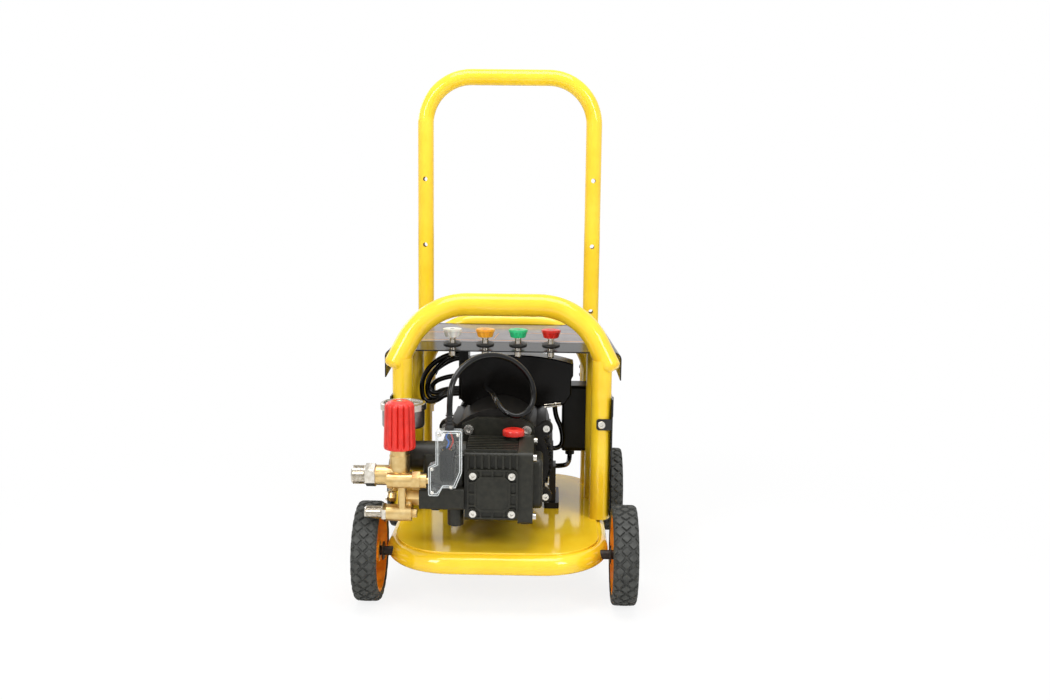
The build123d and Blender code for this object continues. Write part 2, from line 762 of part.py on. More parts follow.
# ---------------------------------------------------------------- motor
motor_line = Axis((motor_x, 0, motor_z), (0, 1, 0))
with BuildPart() as motor_housing:
    # level fins along both sides of a bare round body
    with BuildSketch(Plane.XZ.offset(-motor_front_y)):
        with Locations((motor_x, motor_z)):
            with GridLocations(1, motor_fin_pitch, 1, motor_fins):
                Rectangle(2 * motor_fin_r, motor_fin_t)
            Circle(motor_fin_r, mode=Mode.INTERSECT)
            Circle(motor_core_r)
    extrude(amount=motor_front_y - motor_rear_y)
    # round end shields, the front one with four screw ears
    with BuildSketch(Plane.XZ.offset(-motor_front_y)):
        with Locations((motor_x, motor_z)):
            Circle(shield_r)
        for x, z in shield_bolts[2:]:
            SlotCenterPoint((motor_x, motor_z), (x, z), shield_ear_d)
    extrude(amount=flange_t)
    with BuildSketch(Plane.XZ.offset(-motor_rear_y)):
        with Locations((motor_x, motor_z)):
            Circle(shield_r)
    extrude(amount=-shield_t)
    # feet, a riser with an arm and a pad on each side
    for sign in (-1, 1):
        with BuildSketch(Plane.XZ.offset(-riser_y0)):
            with BuildLine():
                Polyline(
                    (motor_x + sign * riser_in, plate_top),
                    (motor_x + sign * riser_out, plate_top),
                    (motor_x + sign * riser_out, riser_top),
                    (motor_x + sign * (bore_r + 1), riser_top),
                    (motor_x + sign * (bore_r + 1), riser_top - arm_h),
                    (motor_x + sign * riser_in, riser_top - arm_h),
                    close=True,
                )
            make_face()
        extrude(amount=riser_y0 - riser_y1)
        with BuildSketch(Plane.XY.offset(plate_top)):
            with Locations((motor_x + sign * (foot_in + foot_out) / 2, (foot_y0 + foot_y1) / 2)):
                RectangleRounded(foot_out - foot_in, foot_y1 - foot_y0, 5)
        extrude(amount=foot_h)
    # terminal block on the right
    with Locations(((right_block_x + motor_x + bore_r + 2) / 2, right_block_y, (right_block_z0 + right_block_z1) / 2)):
        Box(right_block_x - motor_x - bore_r - 2, right_block_w, right_block_z1 - right_block_z0)
    with Locations(*[(x, motor_front_y, z) for x, z in mount_bolts]):
        Cylinder(big_shank / 2, 3 * flange_t, rotation=(90, 0, 0), mode=Mode.SUBTRACT)
    with Locations(*[(x, motor_front_y, z) for x, z in shield_bolts]):
        Cylinder(screw_shank / 2, 3 * flange_t, rotation=(90, 0, 0), mode=Mode.SUBTRACT)
    with Locations(*[(x, y, plate_top) for x, y in foot_bolts]):
        Cylinder(big_shank / 2, 4 * foot_h, mode=Mode.SUBTRACT)
    # bored out for the rotor, with bearing seats in both shields
    with Locations((motor_x, (motor_front_y + motor_rear_y) / 2, motor_z)):
        Cylinder(bore_r, motor_rear_y - motor_front_y - 8, rotation=(90, 0, 0), mode=Mode.SUBTRACT)
        Cylinder(shaft_d / 2 + shaft_play, 400, rotation=(90, 0, 0), mode=Mode.SUBTRACT)
motor_housing.part.label = "motor_housing"
export_step(motor_housing.part, "parts/motor_housing.step")

cowl_y0 = motor_rear_y + shield_t - 6
with BuildPart() as motor_cowl:
    with BuildSketch(Plane.XY.offset(motor_z)):
        with BuildLine():
            Polyline(
                (motor_x, cowl_y0 + cowl_l),
                (motor_x + cowl_r - 16, cowl_y0 + cowl_l),
                (motor_x + cowl_r, cowl_y0 + cowl_l - 14),
                (motor_x + cowl_r, cowl_y0),
                (motor_x + cowl_r - cowl_t + 1, cowl_y0),
                (motor_x + cowl_r - cowl_t + 1, cowl_y0 + cowl_l - 15),
                (motor_x + cowl_r - 18, cowl_y0 + cowl_l - cowl_t),
                (motor_x, cowl_y0 + cowl_l - cowl_t),
                close=True,
            )
        make_face()
    revolve(axis=motor_line)
    # air slots in rings across the rear face
    with BuildSketch(Plane.XZ.offset(-(cowl_y0 + cowl_l))):
        with Locations((motor_x, motor_z)):
            for ring, slots in ((22, 6), (38, 10), (54, 14)):
                with PolarLocations(ring, slots):
                    SlotOverall(ring * 2.6 / slots * 1.5, 5, rotation=90)
    extrude(amount=6, mode=Mode.SUBTRACT)
motor_cowl.part.label = "motor_cowl"
export_step(motor_cowl.part, "parts/motor_cowl.step")

with BuildPart() as motor_rotor:
    with BuildSketch(Plane.XZ.offset(-(pump_rear_y + 2))):
        with Locations((motor_x, motor_z)):
            Circle(shaft_d / 2)
    extrude(amount=-(cowl_y0 + cowl_l - 12 - pump_rear_y - 2))
    with Locations((motor_x, (motor_front_y + motor_rear_y) / 2, motor_z)):
        Cylinder(bore_r - 14, 110, rotation=(90, 0, 0))
motor_rotor.part.label = "motor_rotor"
export_step(motor_rotor.part, "parts/motor_rotor.step")

fan_y = motor_rear_y + shield_t + 8
with BuildPart() as motor_fan:
    with BuildSketch(Plane.XZ.offset(-fan_y)):
        with Locations((motor_x, motor_z)):
            Circle(fan_d / 2)
    extrude(amount=-3)
    with BuildSketch(Plane.XZ.offset(-(fan_y + 3))):
        with Locations((motor_x, motor_z)):
            Circle(20)
            with PolarLocations(44, fan_blades):
                Rectangle(50, 3)
    extrude(amount=-28)
    with Locations((motor_x, fan_y, motor_z)):
        Cylinder(shaft_d / 2, 120, rotation=(90, 0, 0), mode=Mode.SUBTRACT)
motor_fan.part.label = "motor_fan"
export_step(motor_fan.part, "parts/motor_fan.step")

# ---------------------------------------------------------------- capacitor cover
cover_mid = (cover_x0 + cover_x1) / 2
with BuildPart() as capacitor_cover:
    with BuildSketch(Plane.XZ.offset(-cover_y0)):
        with BuildLine():
            Polyline(
                (cover_x1, cover_eave_z),
                (cover_x1, cover_eave_z - 20),
                (cover_x1 - cover_step, cover_eave_z - 26),
                (cover_x1 - cover_step, cover_z0 + 2 * cover_cut),
                (cover_x1 - cover_step - cover_cut, cover_z0 + cover_cut / 2),
                (cover_x1 - cover_step - 2 * cover_cut, cover_z0),
                (cover_x0 + cover_step + cover_cut, cover_z0),
                (cover_x0 + cover_step, cover_z0 + cover_cut),
                (cover_x0 + cover_step, cover_eave_z - 26),
                (cover_x0, cover_eave_z - 20),
                (cover_x0, cover_eave_z),
            )
            ThreePointArc(
                (cover_x0, cover_eave_z),
                (cover_mid, cover_eave_z + cover_crown),
                (cover_x1, cover_eave_z),
            )
        make_face()
    extrude(amount=cover_y0 - cover_y1)
    fillet(capacitor_cover.faces().sort_by(Axis.Y)[0].edges(), 2.5)
    # lead plate on the left flank and lead block above it
    for low, high in ((lead_plate_z0, lead_plate_z1), (lead_block_z0, lead_block_z1)):
        with BuildSketch(Plane.YZ.offset(cover_x0)):
            with Locations(((lead_ys[0] + lead_ys[-1]) / 2, (low + high) / 2)):
                RectangleRounded(lead_ys[-1] - lead_ys[0] + 2 * lead_d - 4, high - low, 3)
        extrude(amount=lead_plate_t)
    # the underside is saddled on the motor body, in front of its rear shield
    with Locations((motor_x, (cover_y0 + cover_y1) / 2, motor_z)):
        Cylinder(motor_core_r, 200, rotation=(90, 0, 0), mode=Mode.SUBTRACT)
capacitor_cover.part.label = "capacitor_cover"
export_step(capacitor_cover.part, "parts/capacitor_cover.step")

with BuildPart() as cover_latch:
    with BuildSketch(Plane.XZ.offset(-cover_y0)):
        with Locations((80, cover_z0 + 9)):
            RectangleRounded(30, 9, 2)
    extrude(amount=3)
    with BuildSketch(Plane.XZ.offset(-cover_y0 + 3)):
        with Locations((88, cover_z0 + 9)):
            SlotOverall(16, 5)
    extrude(amount=3)
cover_latch.part.label = "cover_latch"
export_step(cover_latch.part, "parts/cover_latch.step")

# ---------------------------------------------------------------- pump
case_face_y = pump_front_y + lid_t
case_mid_x = (case_x0 + case_x1) / 2
case_slope = math.atan2(case_rear_z - case_front_z, pump_rear_y - case_face_y)
case_top = Plane(
    origin=(case_mid_x, case_face_y, case_front_z),
    x_dir=(1, 0, 0),
    z_dir=(0, -math.sin(case_slope), math.cos(case_slope)),
)
lid_bolts = [
    (lid_x + i * lid_bolt_pitch / 2, lid_z + j * lid_bolt_pitch / 2) for i in (-1, 1) for j in (-1, 1)
]

with BuildPart() as pump_crankcase:
    with BuildSketch(Plane.YZ.offset(case_x0)):
        with BuildLine():
            Polyline(
                (case_face_y, case_z0 + 6),
                (case_face_y, case_front_z),
                (pump_rear_y, case_rear_z),
                (pump_rear_y, case_z0),
                (case_face_y + 8, case_z0),
                close=True,
            )
        make_face()
    extrude(amount=case_x1 - case_x0)
    front_edges = pump_crankcase.edges().filter_by(Axis.X).group_by(Axis.Y)[0]
    fillet(front_edges.sort_by(Axis.Z)[-1:], 5)
    # mounting plate against the motor shield
    with BuildSketch(Plane.XZ.offset(-pump_rear_y)) as mount:
        with BuildLine():
            Polyline(
                (mount_x - mount_high_x + 12, mount_top),
                (mount_x + mount_high_x - 12, mount_top),
                (mount_x + mount_high_x + 11, mount_top - 10),
                (mount_x + mount_low_x + 9, mount_low_z + 12),
                (mount_x + mount_low_x + 9, mount_low_z - 8),
                (mount_x + mount_high_x, mount_low_z - 24),
                (mount_x - mount_high_x, mount_low_z - 24),
                (mount_x - mount_low_x - 9, mount_low_z - 8),
                (mount_x - mount_low_x - 9, mount_low_z + 12),
                (mount_x - mount_high_x - 11, mount_top - 10),
                close=True,
            )
        make_face()
        fillet(mount.vertices(), 4)
    extrude(amount=mount_t)
    # cooling ribs across the top
    with BuildSketch(case_top):
        with Locations((0, (side_cover_y1 - case_face_y) / 2)):
            with GridLocations(1, rib_pitch, 1, rib_count):
                Rectangle(case_x1 - case_x0 - 2, rib_t)
    extrude(amount=rib_h)
    # deep upright fins above the front cover
    fin_top = case_front_z - 2
    fin_foot = lid_z + lid_w / 2 + 1
    with BuildSketch(Plane.XZ.offset(-case_face_y)):
        with Locations((lid_x, (fin_top + fin_foot) / 2)):
            with GridLocations(fin_pitch, 1, fin_count, 1):
                Rectangle(fin_t, fin_top - fin_foot)
    extrude(amount=lid_t - 1)
    # filler neck for the oil cap
    with Locations((cap_x, cap_y, case_rear_z + cap_neck / 2 - 2)):
        Cylinder(cap_neck_d / 2, cap_neck + 4)
        Cylinder(cap_shank_d / 2 + shaft_play, 40, mode=Mode.SUBTRACT)
    # tapped holes for the cover screws and clear holes for the flange bolts
    with Locations(*[(x, case_face_y, z) for x, z in lid_bolts]):
        Cylinder(screw_shank / 2, 16, rotation=(90, 0, 0), mode=Mode.SUBTRACT)
    with Locations(*[(x, pump_rear_y, z) for x, z in mount_bolts]):
        Cylinder(big_shank / 2, 3 * mount_t, rotation=(90, 0, 0), mode=Mode.SUBTRACT)
pump_crankcase.part.label = "pump_crankcase"
export_step(pump_crankcase.part, "parts/pump_crankcase.step")

with BuildPart() as crankcase_cover:
    with BuildSketch(Plane.XZ.offset(-case_face_y)):
        with Locations((lid_x, lid_z)):
            RectangleRounded(lid_w, lid_w, 7)
    extrude(amount=3)
    # rim wall, corner bosses and cross ribs that leave cast pockets between them
    with BuildSketch(Plane.XZ.offset(-case_face_y + 3)):
        with Locations((lid_x, lid_z)):
            RectangleRounded(lid_w, lid_w, 7)
            RectangleRounded(lid_w - 5, lid_w - 5, 5, mode=Mode.SUBTRACT)
            with GridLocations(17, 1, 3, 1):
                Rectangle(3, lid_w - 2)
            with GridLocations(1, 17, 1, 3):
                Rectangle(lid_w - 2, 3)
        with Locations(*lid_bolts):
            Circle(screw_d / 2 + 2.4)
    extrude(amount=lid_t - 4)
    # eight-sided raised centre with a sunk field
    for plane, width, corner, depth, mode in (
        (Plane.XZ.offset(-case_face_y + 3), lid_w - 21, 8, lid_t - 3, Mode.ADD),
        (Plane.XZ.offset(-pump_front_y), lid_w - 28, 6, -1.2, Mode.SUBTRACT),
    ):
        with BuildSketch(plane) as field:
            with Locations((lid_x, lid_z)):
                Rectangle(width, width)
            chamfer(field.vertices(), corner)
        extrude(amount=depth, mode=mode)
    with Locations(*[(x, case_face_y, z) for x, z in lid_bolts]):
        Cylinder(screw_shank / 2, 30, rotation=(90, 0, 0), mode=Mode.SUBTRACT)
crankcase_cover.part.label = "crankcase_cover"
export_step(crankcase_cover.part, "parts/crankcase_cover.step")

side_bolts = [
    (case_face_y + 12, case_front_z - 9),
    (case_face_y + 12, side_low_z + 9),
    (side_cover_y1 - 9, side_rear_z - 9),
    (side_cover_y1 - 9, side_low_z + 9),
]
with BuildPart() as pump_side_cover:
    with BuildSketch(Plane.YZ.offset(case_x1)) as side_face:
        with BuildLine():
            Polyline(
                (case_face_y, side_low_z),
                (case_face_y, case_front_z),
                (side_cover_y1 - 22, side_rear_z),
                (side_cover_y1, side_rear_z),
                (side_cover_y1, side_low_z),
                close=True,
            )
        make_face()
        fillet(side_face.vertices(), 7)
    extrude(amount=side_case_t)
    # deep bearing block over the rear part
    with BuildSketch(Plane.YZ.offset(case_x1 + side_case_t)):
        with Locations(((side_block_y + side_cover_y1) / 2, (side_low_z + case_front_z) / 2)):
            RectangleRounded(side_cover_y1 - side_block_y, case_front_z - side_low_z - 30, 12)
    extrude(amount=side_block_t)
    fillet(pump_side_cover.faces().sort_by(Axis.X)[-1].edges(), 6)
    # drain plug boss under the cover
    with Locations((case_x1 + side_case_t / 2, case_face_y + 24, case_z0 - 2)):
        Cylinder(8.5, 12)
    with Locations(*[(case_x1 + side_case_t - 6, y, z) for y, z in side_bolts]):
        Cylinder(screw_shank / 2, 24, rotation=(0, 90, 0), mode=Mode.SUBTRACT)
pump_side_cover.part.label = "pump_side_cover"
export_step(pump_side_cover.part, "parts/pump_side_cover.step")

# socket-head screws of one size hold the front and side covers
with BuildPart() as pump_screws:
    for plane, spots in (
        (Plane.XZ.offset(-(case_face_y - lid_t + 1)), lid_bolts),
        (Plane.YZ.offset(case_x1 + side_case_t), side_bolts),
        (Plane.XZ.offset(flange_t - motor_front_y), shield_bolts),
    ):
        with BuildSketch(plane):
            with Locations(*spots):
                Circle(screw_d / 2)
        extrude(amount=screw_h)
        with BuildSketch(plane):
            with Locations(*spots):
                Circle(screw_shank / 2)
        extrude(amount=-10)
        with BuildSketch(plane.offset(screw_h)):
            with Locations(*spots):
                RegularPolygon(screw_socket / 2, 6)
        extrude(amount=-3, mode=Mode.SUBTRACT)
pump_screws.part.label = "pump_screws"
export_step(pump_screws.part, "parts/pump_screws.step")

# larger screws join the pump to the motor and the motor to the base plate
with BuildPart() as motor_screws:
    for plane, spots, shank in (
        (Plane.XZ.offset(mount_t - pump_rear_y), mount_bolts, mount_t + 6),
        (Plane.XY.offset(plate_top + foot_h), foot_bolts, foot_h + plate_t),
    ):
        with BuildSketch(plane):
            with Locations(*spots):
                Circle(big_screw_d / 2)
        extrude(amount=big_screw_h)
        with BuildSketch(plane):
            with Locations(*spots):
                Circle(big_shank / 2)
        extrude(amount=-shank)
        with BuildSketch(plane.offset(big_screw_h)):
            with Locations(*spots):
                RegularPolygon(big_screw_d / 4, 6)
        extrude(amount=-4, mode=Mode.SUBTRACT)
motor_screws.part.label = "motor_screws"
export_step(motor_screws.part, "parts/motor_screws.step")

cap_seat = case_rear_z + cap_neck + 0.3
with BuildPart() as oil_cap:
    with BuildSketch(Plane.XY.offset(cap_seat)):
        with Locations((cap_x, cap_y)):
            Circle(cap_d / 2)
    extrude(amount=cap_h)
    fillet(oil_cap.faces().sort_by(Axis.Z)[-1].edges(), cap_h - 3)
    with BuildSketch(Plane.XY.offset(cap_seat)):
        with Locations((cap_x, cap_y)):
            Circle(cap_shank_d / 2)
    extrude(amount=-12)
oil_cap.part.label = "oil_cap"
export_step(oil_cap.part, "parts/oil_cap.step")

with BuildPart() as pump_head:
    with BuildSketch(Plane.XY.offset(head_z0)):
        with Locations(((head_x0 + case_x0) / 2, (head_y0 + head_y1) / 2)):
            RectangleRounded(case_x0 - head_x0, head_y1 - head_y0, 6)
    extrude(amount=head_z1 - head_z0)
    # ledge in front that takes the manifold
    with BuildSketch(Plane.YZ.offset(ledge_x0)):
        with Locations(((ledge_y0 + head_y0 + 8) / 2, (ledge_z0 + ledge_z1) / 2)):
            RectangleRounded(head_y0 + 8 - ledge_y0, ledge_z1 - ledge_z0, 4)
    extrude(amount=case_x0 - ledge_x0)
    # plunger barrel with a stepped end, and the sump boss
    with Locations(((barrel_x0 + case_x0) / 2, barrel_y, barrel_z)):
        Cylinder(barrel_r, case_x0 - barrel_x0, rotation=(0, 90, 0))
    fillet(pump_head.faces().sort_by(Axis.X)[0].edges(), 3)
    with Locations((sump_x, sump_y, (sump_z + head_z0) / 2)):
        Cylinder(sump_d / 2, head_z0 - sump_z + 4)
    fillet(pump_head.faces().sort_by(Axis.Z)[0].edges(), 2)
    # hexagon valve plugs underneath
    with BuildSketch(Plane.XY.offset(head_z0)):
        with Locations((-92, -190), (-92, -166), (sump_x, -170)):
            RegularPolygon(8.5, 6)
    extrude(amount=-9)
pump_head.part.label = "pump_head"
export_step(pump_head.part, "parts/pump_head.step")

# ---------------------------------------------------------------- brass manifold
inlet_y = valve_y + 12
port_x1 = ledge_x0
with BuildPart() as manifold:
    # outlet barrel and unloader neck
    with Locations(((man_left - barrel_l + man_x) / 2, man_y, out_z)):
        Cylinder(barrel_d / 2, man_x - man_left + barrel_l, rotation=(0, 90, 0))
    with BuildSketch(Plane.XY.offset(out_z - 8)):
        with Locations((man_x, man_y)):
            Circle(barrel_d / 2)
    extrude(amount=knob_z - 9 - out_z + 8)
    with BuildSketch(Plane.XY.offset(knob_z - 9)):
        with Locations((man_x, man_y)):
            Circle(barrel_d / 2 - 1.3)
    extrude(amount=8.5)
    with BuildSketch(Plane.XY.offset(knob_z - 1)):
        with Locations((man_x, man_y)):
            Circle(spindle_d / 2)
    extrude(amount=45)
    # bypass valve boss in front, with its hexagon and port
    with BuildSketch(Plane.YZ.offset(valve_x0)):
        with Locations((valve_y, valve_z)):
            Circle(valve_d / 2)
    extrude(amount=valve_x1 - valve_x0)
    fillet(manifold.edges().group_by(Axis.X)[0], 1)
    with BuildSketch(Plane.YZ.offset(valve_x1)):
        with Locations((valve_y, valve_z)):
            RegularPolygon(valve_hex / 2, 6, major_radius=False, rotation=30)
    extrude(amount=valve_hex_l)
    with BuildSketch(Plane.YZ.offset(valve_x1 + valve_hex_l)):
        with Locations((valve_y, valve_z)):
            Circle(valve_d / 2 - 0.4)
    extrude(amount=valve_port_l - 3)
    with BuildSketch(Plane.YZ.offset(valve_x1 + valve_hex_l)):
        with Locations((valve_y, valve_z)):
            Circle(5)
    extrude(amount=valve_port_l)
    # bypass tube down to the inlet body with its plug
    with BuildSketch(Plane.XY.offset(in_z)):
        with Locations((bypass_x, valve_y + 8)):
            Circle(bypass_d / 2)
    extrude(amount=valve_z - in_z)
    with BuildSketch(Plane.YZ.offset(inlet_x0)):
        with Locations((inlet_y, in_z)):
            Circle(inlet_body_d / 2)
    extrude(amount=inlet_x1 - inlet_x0)
    with BuildSketch(Plane.YZ.offset(inlet_x1)):
        with Locations((inlet_y, in_z)):
            RegularPolygon(7, 6)
    extrude(amount=7.5)
    # ports into the pump head: pressure above, suction below
    with BuildSketch(Plane.YZ.offset(man_x)):
        with Locations((man_y + 20, out_z - port_d / 2)):
            Circle(port_d / 2)
    extrude(amount=head_x0 - man_x)
    with BuildSketch(Plane.YZ.offset(man_x + 8)):
        with Locations((ledge_y0 + 13, (ledge_z0 + ledge_z1) / 2)):
            RegularPolygon(suction_hex / 2, 6, major_radius=False)
    extrude(amount=port_x1 - man_x - 8)
    with BuildSketch(Plane.XY.offset(in_z)):
        with Locations((man_x + 10, ledge_y0 + 11)):
            Circle(suction_hex / 2 - 2)
    extrude(amount=(ledge_z0 + ledge_z1) / 2 - in_z)
    # arm and stem of the pressure gauge
    with BuildSketch(Plane.XZ.offset(-man_y)):
        with Locations((gauge_x, gauge_arm_z)):
            Circle(gauge_arm_d / 2)
    extrude(amount=man_y - gauge_y)
    with BuildSketch(Plane.XY.offset(gauge_arm_z - gauge_arm_d / 2)):
        with Locations((gauge_x, gauge_y)):
            Circle(gauge_arm_d / 2)
    extrude(amount=gauge_z0 - gauge_arm_z + gauge_arm_d / 2)
    with BuildSketch(Plane.XY.offset(gauge_z0 - 12)):
        with Locations((gauge_x, gauge_y)):
            RegularPolygon(9.5, 6, major_radius=False)
    extrude(amount=12)
    # bored for the outlet and the inlet
    with BuildSketch(Plane.YZ.offset(man_left - barrel_l)):
        with Locations((man_y, out_z)):
            Circle(outlet_bore / 2)
    extrude(amount=16, mode=Mode.SUBTRACT)
    with BuildSketch(Plane.YZ.offset(inlet_x0)):
        with Locations((inlet_y, in_z)):
            Circle(inlet_bore / 2)
    extrude(amount=16, mode=Mode.SUBTRACT)
manifold.part.label = "manifold"
export_step(manifold.part, "parts/manifold.step")

with BuildPart() as manifold_fittings:
    # pressure outlet and water inlet: hexagon, then the round tail, bored through
    for x, y, z, hexagon, hex_l, tail_d, tail_l, bore in (
        (man_left - barrel_l, man_y, out_z, outlet_hex, outlet_hex_l, outlet_d, outlet_l, outlet_bore),
        (inlet_x0, inlet_y, in_z, inlet_nut, inlet_nut_l, inlet_d, inlet_l, inlet_bore),
    ):
        with BuildSketch(Plane.YZ.offset(x)):
            with Locations((y, z)):
                RegularPolygon(hexagon / 2, 6, major_radius=False)
        extrude(amount=-hex_l)
        with BuildSketch(Plane.YZ.offset(x - hex_l)):
            with Locations((y, z)):
                Circle(tail_d / 2)
        extrude(amount=-tail_l)
        with BuildSketch(Plane.YZ.offset(x)):
            with Locations((y, z)):
                Circle(bore / 2)
        extrude(amount=-hex_l - tail_l, mode=Mode.SUBTRACT)
manifold_fittings.part.label = "manifold_fittings"
export_step(manifold_fittings.part, "parts/manifold_fittings.step")

with BuildPart() as unloader_knob:
    knob_r = knob_d / 2
    knob_top = knob_z + knob_h
    with BuildSketch(Plane.XZ.offset(-man_y)):
        with BuildLine():
            foot = Polyline((man_x, knob_z), (man_x + knob_r - 4, knob_z), (man_x + knob_r, knob_z + 4))
            flank = Line(foot @ 1, (man_x + knob_r - 1.75, knob_top - 9))
            dome = ThreePointArc(
                flank @ 1, (man_x + knob_r - 3, knob_top - 2), (man_x + knob_r - 6, knob_top)
            )
            Polyline(dome @ 1, (man_x, knob_top), (man_x, knob_z))
        make_face()
    revolve(axis=Axis((man_x, man_y, 0), (0, 0, 1)))
    # finger flutes that stop short of the foot
    with Locations((man_x, man_y, knob_z + 5 + knob_h / 2)):
        with PolarLocations(knob_r + 0.6, knob_flutes):
            Cylinder(3.6, knob_h, mode=Mode.SUBTRACT)
    with Locations((man_x, man_y, knob_z)):
        Cylinder(spindle_d / 2 + shaft_play, 100, mode=Mode.SUBTRACT)
unloader_knob.part.label = "unloader_knob"
export_step(unloader_knob.part, "parts/unloader_knob.step")

# ---------------------------------------------------------------- pressure gauge
dial_z0 = gauge_z0 + gauge_h - 7
with BuildPart() as gauge_case:
    with BuildSketch(Plane.XY.offset(gauge_z0)):
        with Locations((gauge_x, gauge_y)):
            Circle(gauge_d / 2 - 2.5)
    extrude(amount=dial_z0 - gauge_z0)
    fillet(gauge_case.faces().sort_by(Axis.Z)[0].edges(), 4)
    with Locations((gauge_x, gauge_y, dial_z0)):
        Cylinder(1.5 + shaft_play, 8, mode=Mode.SUBTRACT)
gauge_case.part.label = "gauge_case"
export_step(gauge_case.part, "parts/gauge_case.step")

with BuildPart() as gauge_bezel:
    for z, outer_r, inner_r, height in (
        (dial_z0 - 3, gauge_d / 2, gauge_d / 2 - 2.5, 10),
        (dial_z0 + 5, gauge_d / 2, gauge_d / 2 - 5, 2),
    ):
        with BuildSketch(Plane.XY.offset(z)):
            with Locations((gauge_x, gauge_y)):
                Circle(outer_r)
                Circle(inner_r, mode=Mode.SUBTRACT)
        extrude(amount=height)
    fillet(gauge_bezel.edges().group_by(Axis.Z)[-1].sort_by(SortBy.RADIUS)[-1:], 1.5)
gauge_bezel.part.label = "gauge_bezel"
export_step(gauge_bezel.part, "parts/gauge_bezel.step")

with BuildPart() as gauge_lens:
    with BuildSketch(Plane.XY.offset(dial_z0 + 3.5)):
        with Locations((gauge_x, gauge_y)):
            Circle(gauge_d / 2 - 2.5)
    extrude(amount=1.5)
gauge_lens.part.label = "gauge_lens"
export_step(gauge_lens.part, "parts/gauge_lens.step")

with BuildPart() as gauge_needle:
    with BuildSketch(Plane.XY.offset(dial_z0 - 3)):
        with Locations((gauge_x, gauge_y)):
            Circle(1.5)
    extrude(amount=5)
    with BuildSketch(Plane.XY.offset(dial_z0 + 1)):
        with Locations((gauge_x, gauge_y)):
            Circle(4)
            with PolarLocations(10, 1, start_angle=-135):
                Rectangle(32, 2.2)
    extrude(amount=1.5)
gauge_needle.part.label = "gauge_needle"
export_step(gauge_needle.part, "parts/gauge_needle.step")

# ---------------------------------------------------------------- total-stop switch
sw_back = valve_y + sw_t / 2
with BuildPart() as switch_housing:
    for inset, mode in ((0, Mode.ADD), (sw_wall, Mode.SUBTRACT)):
        with BuildSketch(Plane.XZ.offset(inset - sw_back)) as sw_face:
            with BuildLine():
                Polyline(
                    (sw_right, sw_top),
                    (sw_right, sw_foot + 34),
                    (sw_right - 9, sw_foot + 12),
                    (sw_left + 9, sw_foot + 12),
                    (sw_left + 4, sw_foot),
                    (sw_lobe, sw_foot),
                    (sw_lobe, sw_foot + 44),
                    (sw_left, sw_foot + 48),
                    (sw_left, sw_top),
                    close=True,
                )
            make_face()
            fillet(sw_face.vertices(), 3.5)
            if inset:
                offset(amount=-inset, mode=Mode.REPLACE)
        extrude(amount=sw_t - 2 * inset, mode=mode)
    # screw ears round the rim
    with BuildSketch(Plane.XZ.offset(-sw_back)):
        with Locations(*sw_ears):
            Circle(sw_ear_d / 2)
    extrude(amount=sw_t + 1)
    with BuildSketch(Plane.XZ.offset(sw_t + 1 - sw_back)):
        with Locations(*sw_ears):
            Circle(1.6)
    extrude(amount=-12, mode=Mode.SUBTRACT)
    with Locations((sw_lobe, valve_y, valve_z)):
        Cylinder(5, 10, rotation=(0, 90, 0), mode=Mode.SUBTRACT)
switch_housing.part.label = "switch_housing"
export_step(switch_housing.part, "parts/switch_housing.step")

with BuildPart() as switch_body:
    # snap-action switch with its terminal block
    sw_mid = gland_x - 3
    with BuildSketch(Plane.XZ.offset(sw_wall - sw_back)):
        with Locations((sw_mid, sw_foot + 44)):
            RectangleRounded(20, 46, 2)
        with Locations((sw_mid, sw_foot + 66)):
            Rectangle(12, 12)
    extrude(amount=sw_t - 2 * sw_wall - 2)
switch_body.part.label = "switch_body"
export_step(switch_body.part, "parts/switch_body.step")

with BuildPart() as switch_gland:
    with BuildSketch(Plane.XY.offset(sw_top)):
        with Locations((gland_x, valve_y)):
            RegularPolygon(gland_d / 2, 6, major_radius=False)
    extrude(amount=7)
    with BuildSketch(Plane.XY.offset(sw_top + 7)):
        with Locations((gland_x, valve_y)):
            Circle(gland_d / 2 - 0.5)
    extrude(amount=gland_h - 7, taper=4)
switch_gland.part.label = "switch_gland"
export_step(switch_gland.part, "parts/switch_gland.step")

